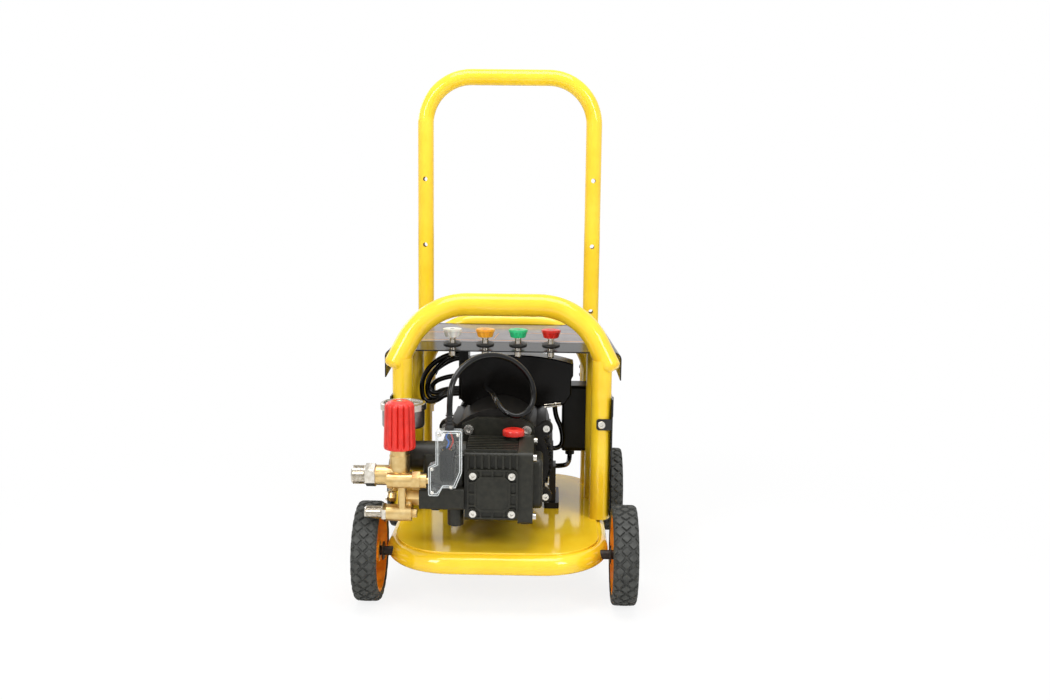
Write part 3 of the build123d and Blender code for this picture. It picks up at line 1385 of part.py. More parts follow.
# ---------------------------------------------------------------- leads
gland_y = (box_y0 + box_y1) / 2
gland_x_out = box_x0 + 15
cover_low_x = cover_x1 - 3 * cover_cut
routes = {
    "switch_lead": [
        [
            (gland_x, valve_y, sw_top + gland_h),
            (gland_x, valve_y, 324),
            (-63, -238, 346),
            (-52, -220, 363),
            (-32, -194, 375),
            (-6, -168, 376),
            (24, -142, 362),
            (46, -128, 336),
            (54, -126, 308),
            (48, -134, 285),
            (28, -140, 274),
            (6, -134, 282),
            (-6, -110, 296),
            (-16, -60, 298),
            (-28, -12, 295),
            (-30, 14, 293),
            (-30, cover_y0, 293),
        ]
    ],
    "motor_leads": [
        [
            (cover_x0, lead_ys[0], 343),
            (-100, lead_ys[0], 343),
            (-139, lead_ys[0], 308),
            (-139, lead_ys[0], 262),
            (-116, lead_ys[0], 260),
            (-98, lead_ys[0], 275),
            (cover_x0, lead_ys[0], 275),
        ],
        [
            (cover_x0, lead_ys[1], 340),
            (-94, lead_ys[1], 340),
            (-131, lead_ys[1], 298),
            (-131, lead_ys[1], 266),
            (-112, lead_ys[1], 264),
            (-96, lead_ys[1], 278),
            (cover_x0, lead_ys[1], 278),
        ],
        [
            (cover_x0, lead_ys[2], 332),
            (-90, lead_ys[2], 332),
            (-131, lead_ys[2], 302),
            (-131, lead_ys[2], 274),
            (-112, lead_ys[2], 270),
            (-96, lead_ys[2], 280),
            (cover_x0, lead_ys[2], 280),
        ],
        [
            (cover_x0, lead_ys[3], 300),
            (-92, lead_ys[3], 300),
            (-126, lead_ys[3], 288),
            (-124, lead_ys[3], 266),
            (-100, lead_ys[3], 278),
            (cover_x0, lead_ys[3], 278),
        ],
    ],
    "control_leads": [
        [
            (gland_x_out, gland_y, box_z0 - 11),
            (gland_x_out, gland_y, 139),
            (103, right_block_y, 149),
            (right_block_x, right_block_y, 149),
        ],
        [
            (cover_low_x, 62, cover_z0),
            (cover_low_x, 62, 238),
            (100, right_block_y, 212),
            (100, right_block_y, 180),
            (right_block_x, right_block_y, 180),
        ],
    ],
}


# an arc at each corner, as large as its two runs allow
def bend_radii(points):
    spots = [Vector(*p) for p in points]
    radii = []
    for before, here, after in zip(spots, spots[1:], spots[2:]):
        first = here - before
        second = after - here
        half_turn = math.radians(first.get_angle(second)) / 2
        radii.append(0.45 * min(first.length, second.length) / math.tan(half_turn))
    return radii


for name, strands in routes.items():
    with BuildPart() as lead:
        for points in strands:
            radii = bend_radii(points)
            with BuildLine() as lead_line:
                FilletPolyline(*points, radius=radii)
            with BuildSketch(Plane(origin=lead_line.wire() @ 0, z_dir=lead_line.wire() % 0)):
                Circle(lead_d / 2)
            sweep()
            print(name, "radii", [round(r) for r in radii], "length", round(lead_line.wire().length))
    lead.part.label = name
    export_step(lead.part, f"parts/{name}.step")
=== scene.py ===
import json
import math

import bmesh
import bpy
from mathutils import Matrix, Vector


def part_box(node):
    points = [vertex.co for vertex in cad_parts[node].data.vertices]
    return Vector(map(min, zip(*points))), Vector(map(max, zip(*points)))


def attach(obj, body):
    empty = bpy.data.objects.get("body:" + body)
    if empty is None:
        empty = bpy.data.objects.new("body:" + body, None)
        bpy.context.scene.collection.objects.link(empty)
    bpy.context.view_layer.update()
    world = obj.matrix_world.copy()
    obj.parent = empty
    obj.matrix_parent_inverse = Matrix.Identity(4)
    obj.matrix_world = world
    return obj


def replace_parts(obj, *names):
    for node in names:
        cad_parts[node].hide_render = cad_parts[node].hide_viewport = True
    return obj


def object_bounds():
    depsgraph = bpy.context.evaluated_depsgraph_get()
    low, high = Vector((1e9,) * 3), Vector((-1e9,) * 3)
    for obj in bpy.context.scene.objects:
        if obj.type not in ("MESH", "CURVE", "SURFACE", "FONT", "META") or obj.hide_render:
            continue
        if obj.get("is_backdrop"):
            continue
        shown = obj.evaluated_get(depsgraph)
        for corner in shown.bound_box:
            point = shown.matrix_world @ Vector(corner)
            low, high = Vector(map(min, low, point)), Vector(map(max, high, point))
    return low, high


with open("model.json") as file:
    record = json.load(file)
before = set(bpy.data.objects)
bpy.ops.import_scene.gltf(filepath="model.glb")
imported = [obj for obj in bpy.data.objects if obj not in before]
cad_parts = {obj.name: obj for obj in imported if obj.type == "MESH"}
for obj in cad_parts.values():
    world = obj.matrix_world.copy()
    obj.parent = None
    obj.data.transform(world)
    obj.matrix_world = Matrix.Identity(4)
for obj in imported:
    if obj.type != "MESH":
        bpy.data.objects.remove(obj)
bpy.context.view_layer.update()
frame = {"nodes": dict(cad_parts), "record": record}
nodes = frame["nodes"]
record = frame["record"]
bodyOf = {node: body for body, members in record["behaviour"]["bodies"].items() for node in members}
slotOf = {part["node"]: part["material_slot"] for part in record["subparts"]}
mm = 0.001
print("frame loaded:", len(nodes), "parts")


# ---- camera: standing in front of the pump, a little above the hoop
camera = {
    "place": (0.0738, -1.8076, 0.6289),
    "yaw": -1.2156,  # degrees, turned to the machine's left
    "pitch": 8.535,  # degrees down
    "roll": -0.660,
    "lens": 38.27,
}


def makeCamera(spec):
    data = bpy.data.cameras.new("camera")
    data.lens = spec["lens"]
    data.sensor_width = 36
    data.clip_end = 100
    camObject = bpy.data.objects.new("camera", data)
    turn = Matrix.Rotation(math.radians(-spec["yaw"]), 4, "Z")
    tilt = Matrix.Rotation(math.radians(90 - spec["pitch"]), 4, "X")
    lean = Matrix.Rotation(math.radians(-spec["roll"]), 4, "Z")
    camObject.matrix_world = Matrix.Translation(spec["place"]) @ turn @ tilt @ lean
    bpy.context.scene.collection.objects.link(camObject)
    bpy.context.scene.camera = camObject


makeCamera(camera)


# ---- materials
def linearColor(hexText):
    channels = [int(hexText[i:i + 2], 16) / 255 for i in (0, 2, 4)]
    return [c / 12.92 if c <= 0.04045 else ((c + 0.055) / 1.055) ** 2.4 for c in channels] + [1.0]


def addNode(tree, kind, props=None, values=None, links=None):
    node = tree.nodes.new(kind)
    for name, value in (props or {}).items():
        setattr(node, name, value)
    for name, value in (values or {}).items():
        node.inputs[name].default_value = value
    for name, (source, socket) in (links or {}).items():
        tree.links.new(source.outputs[socket], node.inputs[name])
    return node


def startMaterial(name, color, roughness, sockets=None):
    material = bpy.data.materials.new(name)
    material.use_nodes = True
    tree = material.node_tree
    shader = tree.nodes["Principled BSDF"]
    shader.inputs["Base Color"].default_value = linearColor(color)
    shader.inputs["Roughness"].default_value = roughness
    for socket, value in (sockets or {}).items():
        shader.inputs[socket].default_value = value
    return material, tree, shader


def addTint(tree, shader, colors, patchMm, contrast=0.35):
    # slow drift between two shades over patches of that size
    place = addNode(tree, "ShaderNodeTexCoord")
    noise = addNode(tree, "ShaderNodeTexNoise", values={"Scale": 1 / (patchMm * mm), "Detail": 3.0},
                    links={"Vector": (place, "Object")})
    ramp = addNode(tree, "ShaderNodeValToRGB", links={"Fac": (noise, "Fac")})
    ramp.color_ramp.elements[0].position = 0.5 - contrast / 2
    ramp.color_ramp.elements[1].position = 0.5 + contrast / 2
    ramp.color_ramp.elements[0].color = linearColor(colors[0])
    ramp.color_ramp.elements[1].color = linearColor(colors[1])
    tree.links.new(ramp.outputs["Color"], shader.inputs["Base Color"])


def addGrain(tree, shader, grainMm, depthMm, roughness, strength):
    # fine relief of that grain size, and the gloss varying with it
    place = addNode(tree, "ShaderNodeTexCoord")
    noise = addNode(tree, "ShaderNodeTexNoise", values={"Scale": 1 / (grainMm * mm), "Detail": 2.0},
                    links={"Vector": (place, "Object")})
    bump = addNode(tree, "ShaderNodeBump", values={"Strength": strength, "Distance": depthMm * mm},
                   links={"Height": (noise, "Fac")})
    tree.links.new(bump.outputs["Normal"], shader.inputs["Normal"])
    spread = addNode(tree, "ShaderNodeMapRange", values={"To Min": roughness[0], "To Max": roughness[1]},
                     links={"Value": (noise, "Fac")})
    tree.links.new(spread.outputs["Result"], shader.inputs["Roughness"])


def powderCoat():
    # polyester powder coat on steel tube: gloss with a faint orange peel
    material, tree, shader = startMaterial("powderCoatYellow", "F4CB28", 0.09)
    addTint(tree, shader, ("F2C523", "F7D233"), 60)
    addGrain(tree, shader, 2.2, 0.012, (0.06, 0.12), 0.3)
    return material


def panelCoat():
    # black powder coat on sheet steel, glossier than the frame
    material, tree, shader = startMaterial("powderCoatBlack", "100F0F", 0.12, {"Specular IOR Level": 0.4})
    addGrain(tree, shader, 1.6, 0.015, (0.13, 0.2), 0.3)
    return material


def reflectionSheet():
    # painted reflection: a grey sheet standing for the pale surroundings mirrored in the black panel, glossy
    # on top
    material, tree, shader = startMaterial("greyPaintedReflection", "7A7577", 0.12)
    addTint(tree, shader, ("726D6F", "827D7E"), 25)
    addGrain(tree, shader, 5.0, 0.01, (0.1, 0.16), 0.3)
    return material


def mouldedBlack():
    # injection-moulded ABS with a fine spark texture
    material, tree, shader = startMaterial("absBlack", "0C0C0B", 0.36, {"Specular IOR Level": 0.2})
    addTint(tree, shader, ("090908", "10100E"), 18)
    addGrain(tree, shader, 0.9, 0.03, (0.3, 0.44), 0.5)
    return material


def coverBlack():
    # pressed steel cover in black gloss enamel
    material, tree, shader = startMaterial("enamelBlack", "080706", 0.16, {"Specular IOR Level": 0.16})
    addTint(tree, shader, ("060504", "0C0A08"), 30)
    addGrain(tree, shader, 3.0, 0.02, (0.16, 0.26), 0.3)
    return material


def castBlack():
    # die-cast aluminium under thin black paint: pebbled skin, olive-grey where light rakes it
    material, tree, shader = startMaterial("paintedCasting", "191914", 0.34, {"Specular IOR Level": 0.32})
    addTint(tree, shader, ("16160F", "25241C"), 7)
    addGrain(tree, shader, 0.7, 0.06, (0.36, 0.5), 0.7)
    return material


def motorBlack():
    # extruded aluminium motor frame, sprayed black
    material, tree, shader = startMaterial("motorPaint", "151412", 0.32, {"Specular IOR Level": 0.18})
    addTint(tree, shader, ("121110", "1E1C19"), 12)
    addGrain(tree, shader, 1.0, 0.04, (0.3, 0.44), 0.5)
    return material


def brass():
    # forged brass, shot-blasted then left raw: warm, satin, faintly sandy
    material, tree, shader = startMaterial("forgedBrass", "CBAE78", 0.3, {"Metallic": 1.0})
    addTint(tree, shader, ("C09E62", "D8C08C"), 9, 0.6)
    addGrain(tree, shader, 0.7, 0.02, (0.26, 0.36), 0.35)
    return material


def nickel():
    # nickel-plated steel, turned
    material, tree, shader = startMaterial("nickelPlate", "C9C3B8", 0.16, {"Metallic": 1.0})
    addTint(tree, shader, ("BDB6A8", "D4CFC6"), 5)
    addGrain(tree, shader, 0.4, 0.01, (0.1, 0.22), 0.4)
    return material


def zincSteel():
    # zinc-plated socket screws
    material, tree, shader = startMaterial("zincPlate", "CFCCC4", 0.24, {"Metallic": 1.0})
    addTint(tree, shader, ("BDB9B0", "DAD8D2"), 2)
    addGrain(tree, shader, 0.3, 0.01, (0.18, 0.34), 0.5)
    return material


def blackSteel():
    # black-oxide steel rod and nuts with an oily sheen
    material, tree, shader = startMaterial("blackOxide", "2B2724", 0.4, {"Metallic": 0.6})
    addTint(tree, shader, ("211E1C", "39332D"), 5)
    addGrain(tree, shader, 0.6, 0.03, (0.32, 0.5), 0.5)
    return material


def rubber():
    # moulded tyre rubber, dusty grey where the blocks catch light
    material, tree, shader = startMaterial("tyreRubber", "343532", 0.42)
    addTint(tree, shader, ("2C2D2A", "3D3E3B"), 9)
    addGrain(tree, shader, 0.8, 0.06, (0.55, 0.72), 0.6)
    return material


def sheath():
    # PVC cable sheath, smooth and slightly waxy
    material, tree, shader = startMaterial("pvcSheath", "050505", 0.16, {"Specular IOR Level": 0.35})
    addGrain(tree, shader, 1.2, 0.01, (0.12, 0.22), 0.3)
    return material


def softRubber():
    # black grommet rubber
    material, tree, shader = startMaterial("grommetRubber", "151514", 0.45)
    addGrain(tree, shader, 0.8, 0.03, (0.38, 0.54), 0.4)
    return material


def mouldedColor(name, color, darker, roughness=0.3):
    # self-coloured moulded plastic with a soft gloss and a little light inside it
    material, tree, shader = startMaterial(name, color, roughness,
                                           {"Subsurface Weight": 0.08, "Subsurface Scale": 0.002})
    addTint(tree, shader, (darker, color), 10)
    addGrain(tree, shader, 0.9, 0.02, (roughness - 0.05, roughness + 0.07), 0.4)
    return material


def clearShell():
    # clear polycarbonate moulding: see-through walls that turn milky and bright towards their edges
    material, tree, shader = startMaterial("polycarbonateClear", "E9EEEE", 0.06)
    facing = addNode(tree, "ShaderNodeLayerWeight", values={"Blend": 0.45})
    opacity = addNode(tree, "ShaderNodeMapRange",
                      values={"From Min": 0.05, "From Max": 0.9, "To Min": 0.035, "To Max": 0.42},
                      links={"Value": (facing, "Facing")})
    tree.links.new(opacity.outputs["Result"], shader.inputs["Alpha"])
    return material


def clearEdgeHighlight():
    # painted highlight: pale lines of the same clear plastic, thicker and paler, standing for the bright
    # edges of the shell
    material, tree, shader = startMaterial("polycarbonatePaintedHighlight", "E6EAEA", 0.1, {"Alpha": 0.72})
    addTint(tree, shader, ("CDD3D3", "F0F4F4"), 6)
    return material


def stainlessCase():
    # drawn stainless case, dull silver
    material, tree, shader = startMaterial("stainlessDrawn", "8E8B88", 0.3, {"Metallic": 1.0})
    addTint(tree, shader, ("7E7B78", "9B9895"), 8)
    addGrain(tree, shader, 0.8, 0.01, (0.24, 0.36), 0.3)
    return material


def gaugeGlass():
    # flat window glass
    material, tree, shader = startMaterial("gaugeGlass", "FFFFFF", 0.02,
                                           {"Transmission Weight": 1.0, "IOR": 1.45})
    addGrain(tree, shader, 8.0, 0.005, (0.01, 0.03), 0.2)
    return material


finishes = {
    "frame_yellow": powderCoat(),
    "panel_black": panelCoat(),
    "overlay_painted_reflection": reflectionSheet(),
    "line_orange": mouldedColor("inkOrange", "D9924E", "D18A46"),
    "housing_black": mouldedBlack(),
    "cover_black": coverBlack(),
    "motor_black": motorBlack(),
    "pump_black": castBlack(),
    "steel": zincSteel(),
    "steel_black": blackSteel(),
    "chrome": nickel(),
    "brass": brass(),
    "gauge_shell": stainlessCase(),
    "clear_edge_highlight": clearEdgeHighlight(),
    "cap_black": mouldedColor("capBlack", "0E0D0C", "141312"),
    "knob_red": mouldedColor("absRed", "DC2E22", "CE241A", 0.3),
    "needle_red": mouldedColor("needleRed", "C8201A", "B81A15"),
    "clear_shell": clearShell(),
    "lens": gaugeGlass(),
    "hub_orange": mouldedColor("polypropyleneOrange", "F09A18", "E2880E", 0.36),
    "tyre": rubber(),
    "rubber_black": softRubber(),
    "lead_black": sheath(),
    "tip_white": mouldedColor("nylonWhite", "FCFAF3", "F3F0E6"),
    "tip_yellow": mouldedColor("nylonAmber", "FFB636", "F9A522"),
    "tip_green": mouldedColor("nylonGreen", "38D08A", "22BE76"),
    "tip_red": mouldedColor("nylonRed", "E62A1C", "D82014"),
    "dial_white": mouldedColor("dialEnamel", "F2F1EC", "EAE8E0", 0.4),
    "print_black": mouldedColor("dialPrint", "1A1A1A", "101010", 0.5),
    "wire_blue": mouldedColor("wireBlue", "2470C8", "1A60B4"),
    "wire_red": mouldedColor("wireRed", "C03020", "A82818"),
}
print("materials made:", len(finishes))


# ---- leads, held at both ends; route points and sizes in metres
leadWidth = 0.0084
leads = {
    "switchLead": {
        "stands_for": "switch_lead", "length": 0.494, "points": [
            (-0.066, -0.248, 0.302), (-0.066, -0.248, 0.324), (-0.063, -0.238, 0.346),
            (-0.052, -0.220, 0.363), (-0.032, -0.194, 0.375), (-0.006, -0.168, 0.376),
            (0.024, -0.142, 0.362), (0.046, -0.128, 0.336), (0.054, -0.126, 0.308),
            (0.048, -0.134, 0.285), (0.028, -0.140, 0.274), (0.006, -0.134, 0.282),
            (-0.006, -0.110, 0.296), (-0.016, -0.060, 0.298), (-0.028, -0.012, 0.295),
            (-0.030, 0.014, 0.293), (-0.030, 0.034, 0.293)]},
    "motorLeadFront": {
        "stands_for": "motor_leads", "length": 0.180, "points": [
            (-0.076, 0.044, 0.343), (-0.100, 0.044, 0.343), (-0.139, 0.044, 0.308), (-0.139, 0.044, 0.262),
            (-0.116, 0.044, 0.260), (-0.098, 0.044, 0.275), (-0.076, 0.044, 0.275)]},
    "motorLeadSecond": {
        "stands_for": "motor_leads", "length": 0.157, "points": [
            (-0.076, 0.055, 0.340), (-0.094, 0.055, 0.340), (-0.131, 0.055, 0.298), (-0.131, 0.055, 0.266),
            (-0.112, 0.055, 0.264), (-0.096, 0.055, 0.278), (-0.076, 0.055, 0.278)]},
    "motorLeadThird": {
        "stands_for": "motor_leads", "length": 0.144, "points": [
            (-0.076, 0.066, 0.332), (-0.090, 0.066, 0.332), (-0.131, 0.066, 0.302), (-0.131, 0.066, 0.274),
            (-0.112, 0.066, 0.270), (-0.096, 0.066, 0.280), (-0.076, 0.066, 0.280)]},
    "motorLeadRear": {
        "stands_for": "motor_leads", "length": 0.1145, "points": [
            (-0.076, 0.077, 0.300), (-0.092, 0.077, 0.300), (-0.126, 0.077, 0.288), (-0.124, 0.077, 0.266),
            (-0.100, 0.077, 0.278), (-0.076, 0.077, 0.278)]},
    "boxLead": {
        "stands_for": "control_leads", "length": 0.084, "points": [
            (0.114, 0.1215, 0.155), (0.114, 0.1215, 0.139), (0.103, 0.057, 0.149), (0.0846, 0.057, 0.149)]},
    "coverLead": {
        "stands_for": "control_leads", "length": 0.0905, "points": [
            (0.086, 0.062, 0.257), (0.086, 0.062, 0.238), (0.100, 0.057, 0.212), (0.100, 0.057, 0.180),
            (0.0846, 0.057, 0.180)]},
}


def addCurve(name, kind, points, width, roundness, finish):
    # a round strand along those points; roundness is its bevel resolution
    curve = bpy.data.curves.new(name, "CURVE")
    curve.dimensions = "3D"
    curve.bevel_depth = width / 2
    curve.bevel_resolution = roundness
    spline = curve.splines.new(kind)
    spline.points.add(len(points) - 1)
    for point, place in zip(spline.points, points):
        point.co = (*place, 1.0)
    if kind == "NURBS":
        spline.order_u = 3
        spline.use_endpoint_u = True
    else:
        spline.use_cyclic_u = True
    piece = bpy.data.objects.new(name, curve)
    bpy.context.scene.collection.objects.link(piece)
    curve.materials.append(finishes[finish])
    return piece


def makeLead(name, spec):
    piece = addCurve(name, "NURBS", spec["points"], leadWidth, 5, "lead_black")
    piece.data.resolution_u = 16
    piece.data.use_fill_caps = True
    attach(piece, bodyOf[spec["stands_for"]])
    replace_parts(piece, spec["stands_for"])


for name, spec in leads.items():
    makeLead(name, spec)
print("leads laid:", len(leads))


# ---- stage and light
stageSpec = {
    "floorHalf": 12.0,
    "floorColor": "F6F6F5",
    "gap": 0.0005,  # under the wheels
    "glow": 0.85,  # share of plain white in the floor beside the machine, which keeps its shadow pale
    "fadeFrom": 0.4,  # metres from the machine where the floor starts to turn plain white
    "fadeTo": 1.1,
    "worldDiffuse": 0.4,
}


def makeStage(spec):
    bm = bmesh.new()
    bmesh.ops.create_grid(bm, x_segments=2, y_segments=2, size=spec["floorHalf"])
    mesh = bpy.data.meshes.new("floor")
    bm.to_mesh(mesh)
    bm.free()
    floor = bpy.data.objects.new("floor", mesh)
    floor.location.z = -spec["gap"]
    bpy.context.scene.collection.objects.link(floor)
    material, tree, shader = startMaterial("paperFloor", spec["floorColor"], 0.9)
    place = addNode(tree, "ShaderNodeTexCoord")
    reach = addNode(tree, "ShaderNodeVectorMath", {"operation": "LENGTH"}, links={0: (place, "Object")})
    fade = addNode(tree, "ShaderNodeMapRange", {"interpolation_type": "SMOOTHSTEP"},
                   {"From Min": spec["fadeFrom"], "From Max": spec["fadeTo"], "To Min": spec["glow"]},
                   {"Value": (reach, "Value")})
    path = addNode(tree, "ShaderNodeLightPath")
    glow = addNode(tree, "ShaderNodeEmission", values={"Color": (1, 1, 1, 1), "Strength": 1.0})
    seen = addNode(tree, "ShaderNodeMath", {"operation": "MULTIPLY"},
                   links={0: (fade, "Result"), 1: (path, "Is Camera Ray")})
    mix = addNode(tree, "ShaderNodeMixShader",
                  links={"Fac": (seen, 0), 1: (shader, "BSDF"), 2: (glow, "Emission")})
    tree.links.new(mix.outputs[0], tree.nodes["Material Output"].inputs["Surface"])
    mesh.materials.append(material)
    floor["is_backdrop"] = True


def makeWorld(spec):
    world = bpy.data.worlds.new("studio")
    bpy.context.scene.world = world
    world.use_nodes = True
    tree = world.node_tree
    soft = tree.nodes["Background"]
    soft.inputs["Color"].default_value = (1, 1, 1, 1)
    soft.inputs["Strength"].default_value = spec["worldDiffuse"]
    white = addNode(tree, "ShaderNodeBackground", values={"Color": (1, 1, 1, 1), "Strength": 1.0})
    path = addNode(tree, "ShaderNodeLightPath")
    mirrored = addNode(tree, "ShaderNodeMath", {"operation": "MAXIMUM"},
                       links={0: (path, "Is Glossy Ray"), 1: (path, "Is Transmission Ray")})
    shown = addNode(tree, "ShaderNodeMath", {"operation": "MAXIMUM"},
                    links={0: (mirrored, 0), 1: (path, "Is Camera Ray")})
    mix = addNode(tree, "ShaderNodeMixShader",
                  links={"Fac": (shown, 0), 1: (soft, "Background"), 2: (white, "Background")})
    tree.links.new(mix.outputs[0], tree.nodes["World Output"].inputs["Surface"])


lamps = {  # place, aimed at, width, depth, watts
    "topSoftbox": ((0.0, -0.35, 2.1), (0.0, 0.0, 0.3), 1.5, 1.1, 27.0),
    "leftSoftbox": ((-1.1, -1.7, 1.35), (0.0, 0.0, 0.3), 0.55, 0.9, 17.0),
    "rightSoftbox": ((1.2, -1.6, 1.35), (0.0, 0.0, 0.3), 0.55, 0.9, 17.0),
    "rearSoftbox": ((-1.6, 1.6, 1.3), (0.0, 0.0, 0.3), 1.0, 0.8, 9.0),
}


def makeLamps(table):
    for name, (place, aim, width, depth, watts) in table.items():
        data = bpy.data.lights.new(name, "AREA")
        data.shape = "RECTANGLE"
        data.size = width
        data.size_y = depth
        data.energy = watts
        lamp = bpy.data.objects.new(name, data)
        lamp.location = place
        lamp.rotation_euler = (Vector(aim) - Vector(place)).to_track_quat("-Z", "Y").to_euler()
        bpy.context.scene.collection.objects.link(lamp)


makeStage(stageSpec)
makeWorld(stageSpec)
makeLamps(lamps)
bpy.context.scene.view_settings.view_transform = "Standard"
print("stage and lamps set")


# ---- shared ways of making a piece
def addPiece(name, bm, finish, body, smoothAngle=35):
    bmesh.ops.remove_doubles(bm, verts=bm.verts, dist=1e-6)
    for face in bm.faces:
        face.smooth = True
    for edge in bm.edges:
        edge.smooth = len(edge.link_faces) < 2 or edge.calc_face_angle(0) < math.radians(smoothAngle)
    mesh = bpy.data.meshes.new(name)
    bm.to_mesh(mesh)
    bm.free()
    piece = bpy.data.objects.new(name, mesh)
    bpy.context.scene.collection.objects.link(piece)
    mesh.materials.append(finishes[finish])
    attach(piece, body)
    return piece


def mergedCopy(node):
    bm = bmesh.new()
    bm.from_mesh(nodes[node].data)
    bmesh.ops.remove_doubles(bm, verts=bm.verts, dist=2e-6)
    return bm


def cutCopy(bm, place, normal, drop):
    # cut by a plane; drop says whether what lies beyond it goes
    whole = list(bm.verts) + list(bm.edges) + list(bm.faces)
    bmesh.ops.bisect_plane(bm, geom=whole, dist=1e-6, plane_co=place, plane_no=normal, clear_outer=drop)


def closeHoles(bm):
    bmesh.ops.holes_fill(bm, edges=[e for e in bm.edges if e.is_boundary], sides=0)
    bmesh.ops.recalc_face_normals(bm, faces=bm.faces)


def raiseFaces(bm, faces, move):
    # pull the faces out by that vector, and give back the corners that moved
    pulled = bmesh.ops.extrude_face_region(bm, geom=faces)["geom"]
    corners = [v for v in pulled if isinstance(v, bmesh.types.BMVert)]
    bmesh.ops.translate(bm, vec=move, verts=corners)
    return corners


def dressNode(node, finish, edge):
    # a merged copy of the part's own mesh, with its hard edges softened by a small bevel
    bm = mergedCopy(node)
    bmesh.ops.dissolve_limit(bm, angle_limit=math.radians(0.4), verts=bm.verts, edges=bm.edges)
    piece = addPiece(node + "_skin", bm, finish, bodyOf[node])
    if edge:
        soften = piece.modifiers.new("soften", "BEVEL")
        soften.width = edge * mm
        soften.segments = 2
        soften.limit_method = "ANGLE"
        soften.angle_limit = math.radians(35)
        soften.harden_normals = True
    weigh = piece.modifiers.new("weigh", "WEIGHTED_NORMAL")
    weigh.keep_sharp = True
    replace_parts(piece, node)


def spinProfile(bm, points, centre, axis, steps):
    # a closed outline turned once round an axis
    outline = [bm.verts.new(point) for point in points]
    edges = [bm.edges.new((a, b)) for a, b in zip(outline, outline[1:] + outline[:1])]
    bmesh.ops.spin(bm, geom=outline + edges, cent=centre, axis=axis, angle=2 * math.pi, steps=steps,
                   use_merge=True)
    bmesh.ops.remove_doubles(bm, verts=bm.verts, dist=1e-6)
    bmesh.ops.recalc_face_normals(bm, faces=bm.faces)


# ---- frame tubes, plate, panel and covers
coats = {  # finish and edge softening in millimetres for the parts whose shape is complete
    "frame_yellow": ("frame_yellow", 0.4),
    "panel_black": ("panel_black", 0.4),
    "housing_black": ("housing_black", 0.6),
    "motor_black": ("motor_black", 0.5),
    "pump_black": ("pump_black", 0.6),
    "steel": ("steel", 0.25),
    "chrome": ("chrome", 0.3),
    "brass": ("brass", 0.5),
    "knob_red": ("knob_red", 0.5),
    "needle_red": ("needle_red", 0.0),
    "lens": ("lens", 0.0),
    "clear_shell": ("clear_shell", 0.0),
    "hub_orange": ("hub_orange", 0.8),
    "rubber_black": ("rubber_black", 0.3),
}
special = {  # parts whose finish isn't their slot's plain one
    "base_plate": ("frame_yellow", 0.5),
    "capacitor_cover": ("cover_black", 0.8),
    "axles": ("steel_black", 0.3),
    "axle_nuts": ("steel_black", 0.4),
    "axle_washers": ("steel_black", 0.2),
    "gauge_case": ("gauge_shell", 0.3),
}
ownShape = [node for node in nodes if node.startswith("tyre_")] + [
    "manifold_fittings", "unloader_knob", "switch_gland", "cover_latch", "switch_lead", "motor_leads",
    "control_leads", "side_plate_left", "side_plate_right", "frame_bolts", "front_post_left",
    "front_post_right", "tip_white", "tip_yellow", "tip_green", "tip_red"]
for node in nodes:
    if node not in ownShape:
        finish, edge = special[node] if node in special else coats[slotOf[node]]
        dressNode(node, finish, edge)
print("parts dressed:", len(nodes) - len(ownShape))


# ---- tyres with a moulded diamond tread
tread = {
    "blocks": 24,  # diamonds round the tyre
    "pitch": 0.0196,  # across the tread
    "grooveHalf": 0.0017,
    "wall": 0.0006,
    "depth": 0.0031,
    "crown": 0.0006,  # how far the tread falls towards its edges
    "shoulder": 0.005,
    # the sidewall from the tread to the bead: in from its face, and below the crown
    "sidewall": ((0.0, 0.0075), (0.0006, 0.008), (0.0006, 0.0115), (0.0, 0.012)),
    "bead": 0.061,
    "treadFoot": 0.0068,  # below the crown, where the channels have run out
    "runOut": 0.003,
    "around": 600,
    "across": 46,
}


def grooveDepth(turn, lateral, spec):
    # 0 on a block, 1 in the channels that cross at a right angle round it
    deepest = 0.0
    for sign in (-1, 1):
        lane = spec["blocks"] * turn + sign * lateral / spec["pitch"]
        away = abs(lane - round(lane)) * spec["pitch"] / math.sqrt(2)
        rise = min(max((away - spec["grooveHalf"]) / spec["wall"], 0.0), 1.0)
        deepest = max(deepest, 1 - rise * rise * (3 - 2 * rise))
    return deepest


def makeTyre(node, spec):
    low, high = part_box(node)
    centre = (low + high) / 2
    radius = (high.z - low.z) / 2
    half = (high.x - low.x) / 2
    corner = spec["shoulder"]
    outline = []
    for step in range(spec["across"] + 1):  # crown, nearly flat
        x = (half - corner) * (2 * step / spec["across"] - 1)
        outline.append((x, radius - spec["crown"] * (x / half) ** 2))
    for step in range(1, 7):  # shoulder
        angle = math.radians(90 - 15 * step)
        outline.append((half - corner + corner * math.cos(angle),
                        radius - spec["crown"] - corner + corner * math.sin(angle)))
    side = [(half - inward, radius - below) for inward, below in spec["sidewall"]]
    side += [(half - 0.0004, spec["bead"] + 0.0008), (half - 0.002, spec["bead"])]
    right = outline[spec["across"] + 1:] + side
    left = [(-x, r) for x, r in reversed(right)]
    closed = outline[:spec["across"] + 1] + right + left
    bm = bmesh.new()
    spinProfile(bm, [(centre.x + x, centre.y, centre.z + r) for x, r in closed], centre, (1, 0, 0),
                spec["around"])
    for vert in bm.verts:
        arm = vert.co - centre
        reach = math.hypot(arm.y, arm.z)
        if reach < radius - spec["treadFoot"]:
            continue
        turn = math.atan2(arm.y, arm.z) / (2 * math.pi)
        sink = spec["depth"] * grooveDepth(turn, arm.x, spec)
        fade = min(max((reach - radius + spec["treadFoot"]) / spec["runOut"], 0.0), 1.0)
        scale = (reach - sink * fade) / reach
        vert.co = Vector((vert.co.x, centre.y + arm.y * scale, centre.z + arm.z * scale))
    piece = addPiece(node + "_tread", bm, "tyre", bodyOf[node], 50)
    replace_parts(piece, node)


for node in nodes:
    if node.startswith("tyre_"):
        makeTyre(node, tread)
print("tyres made")


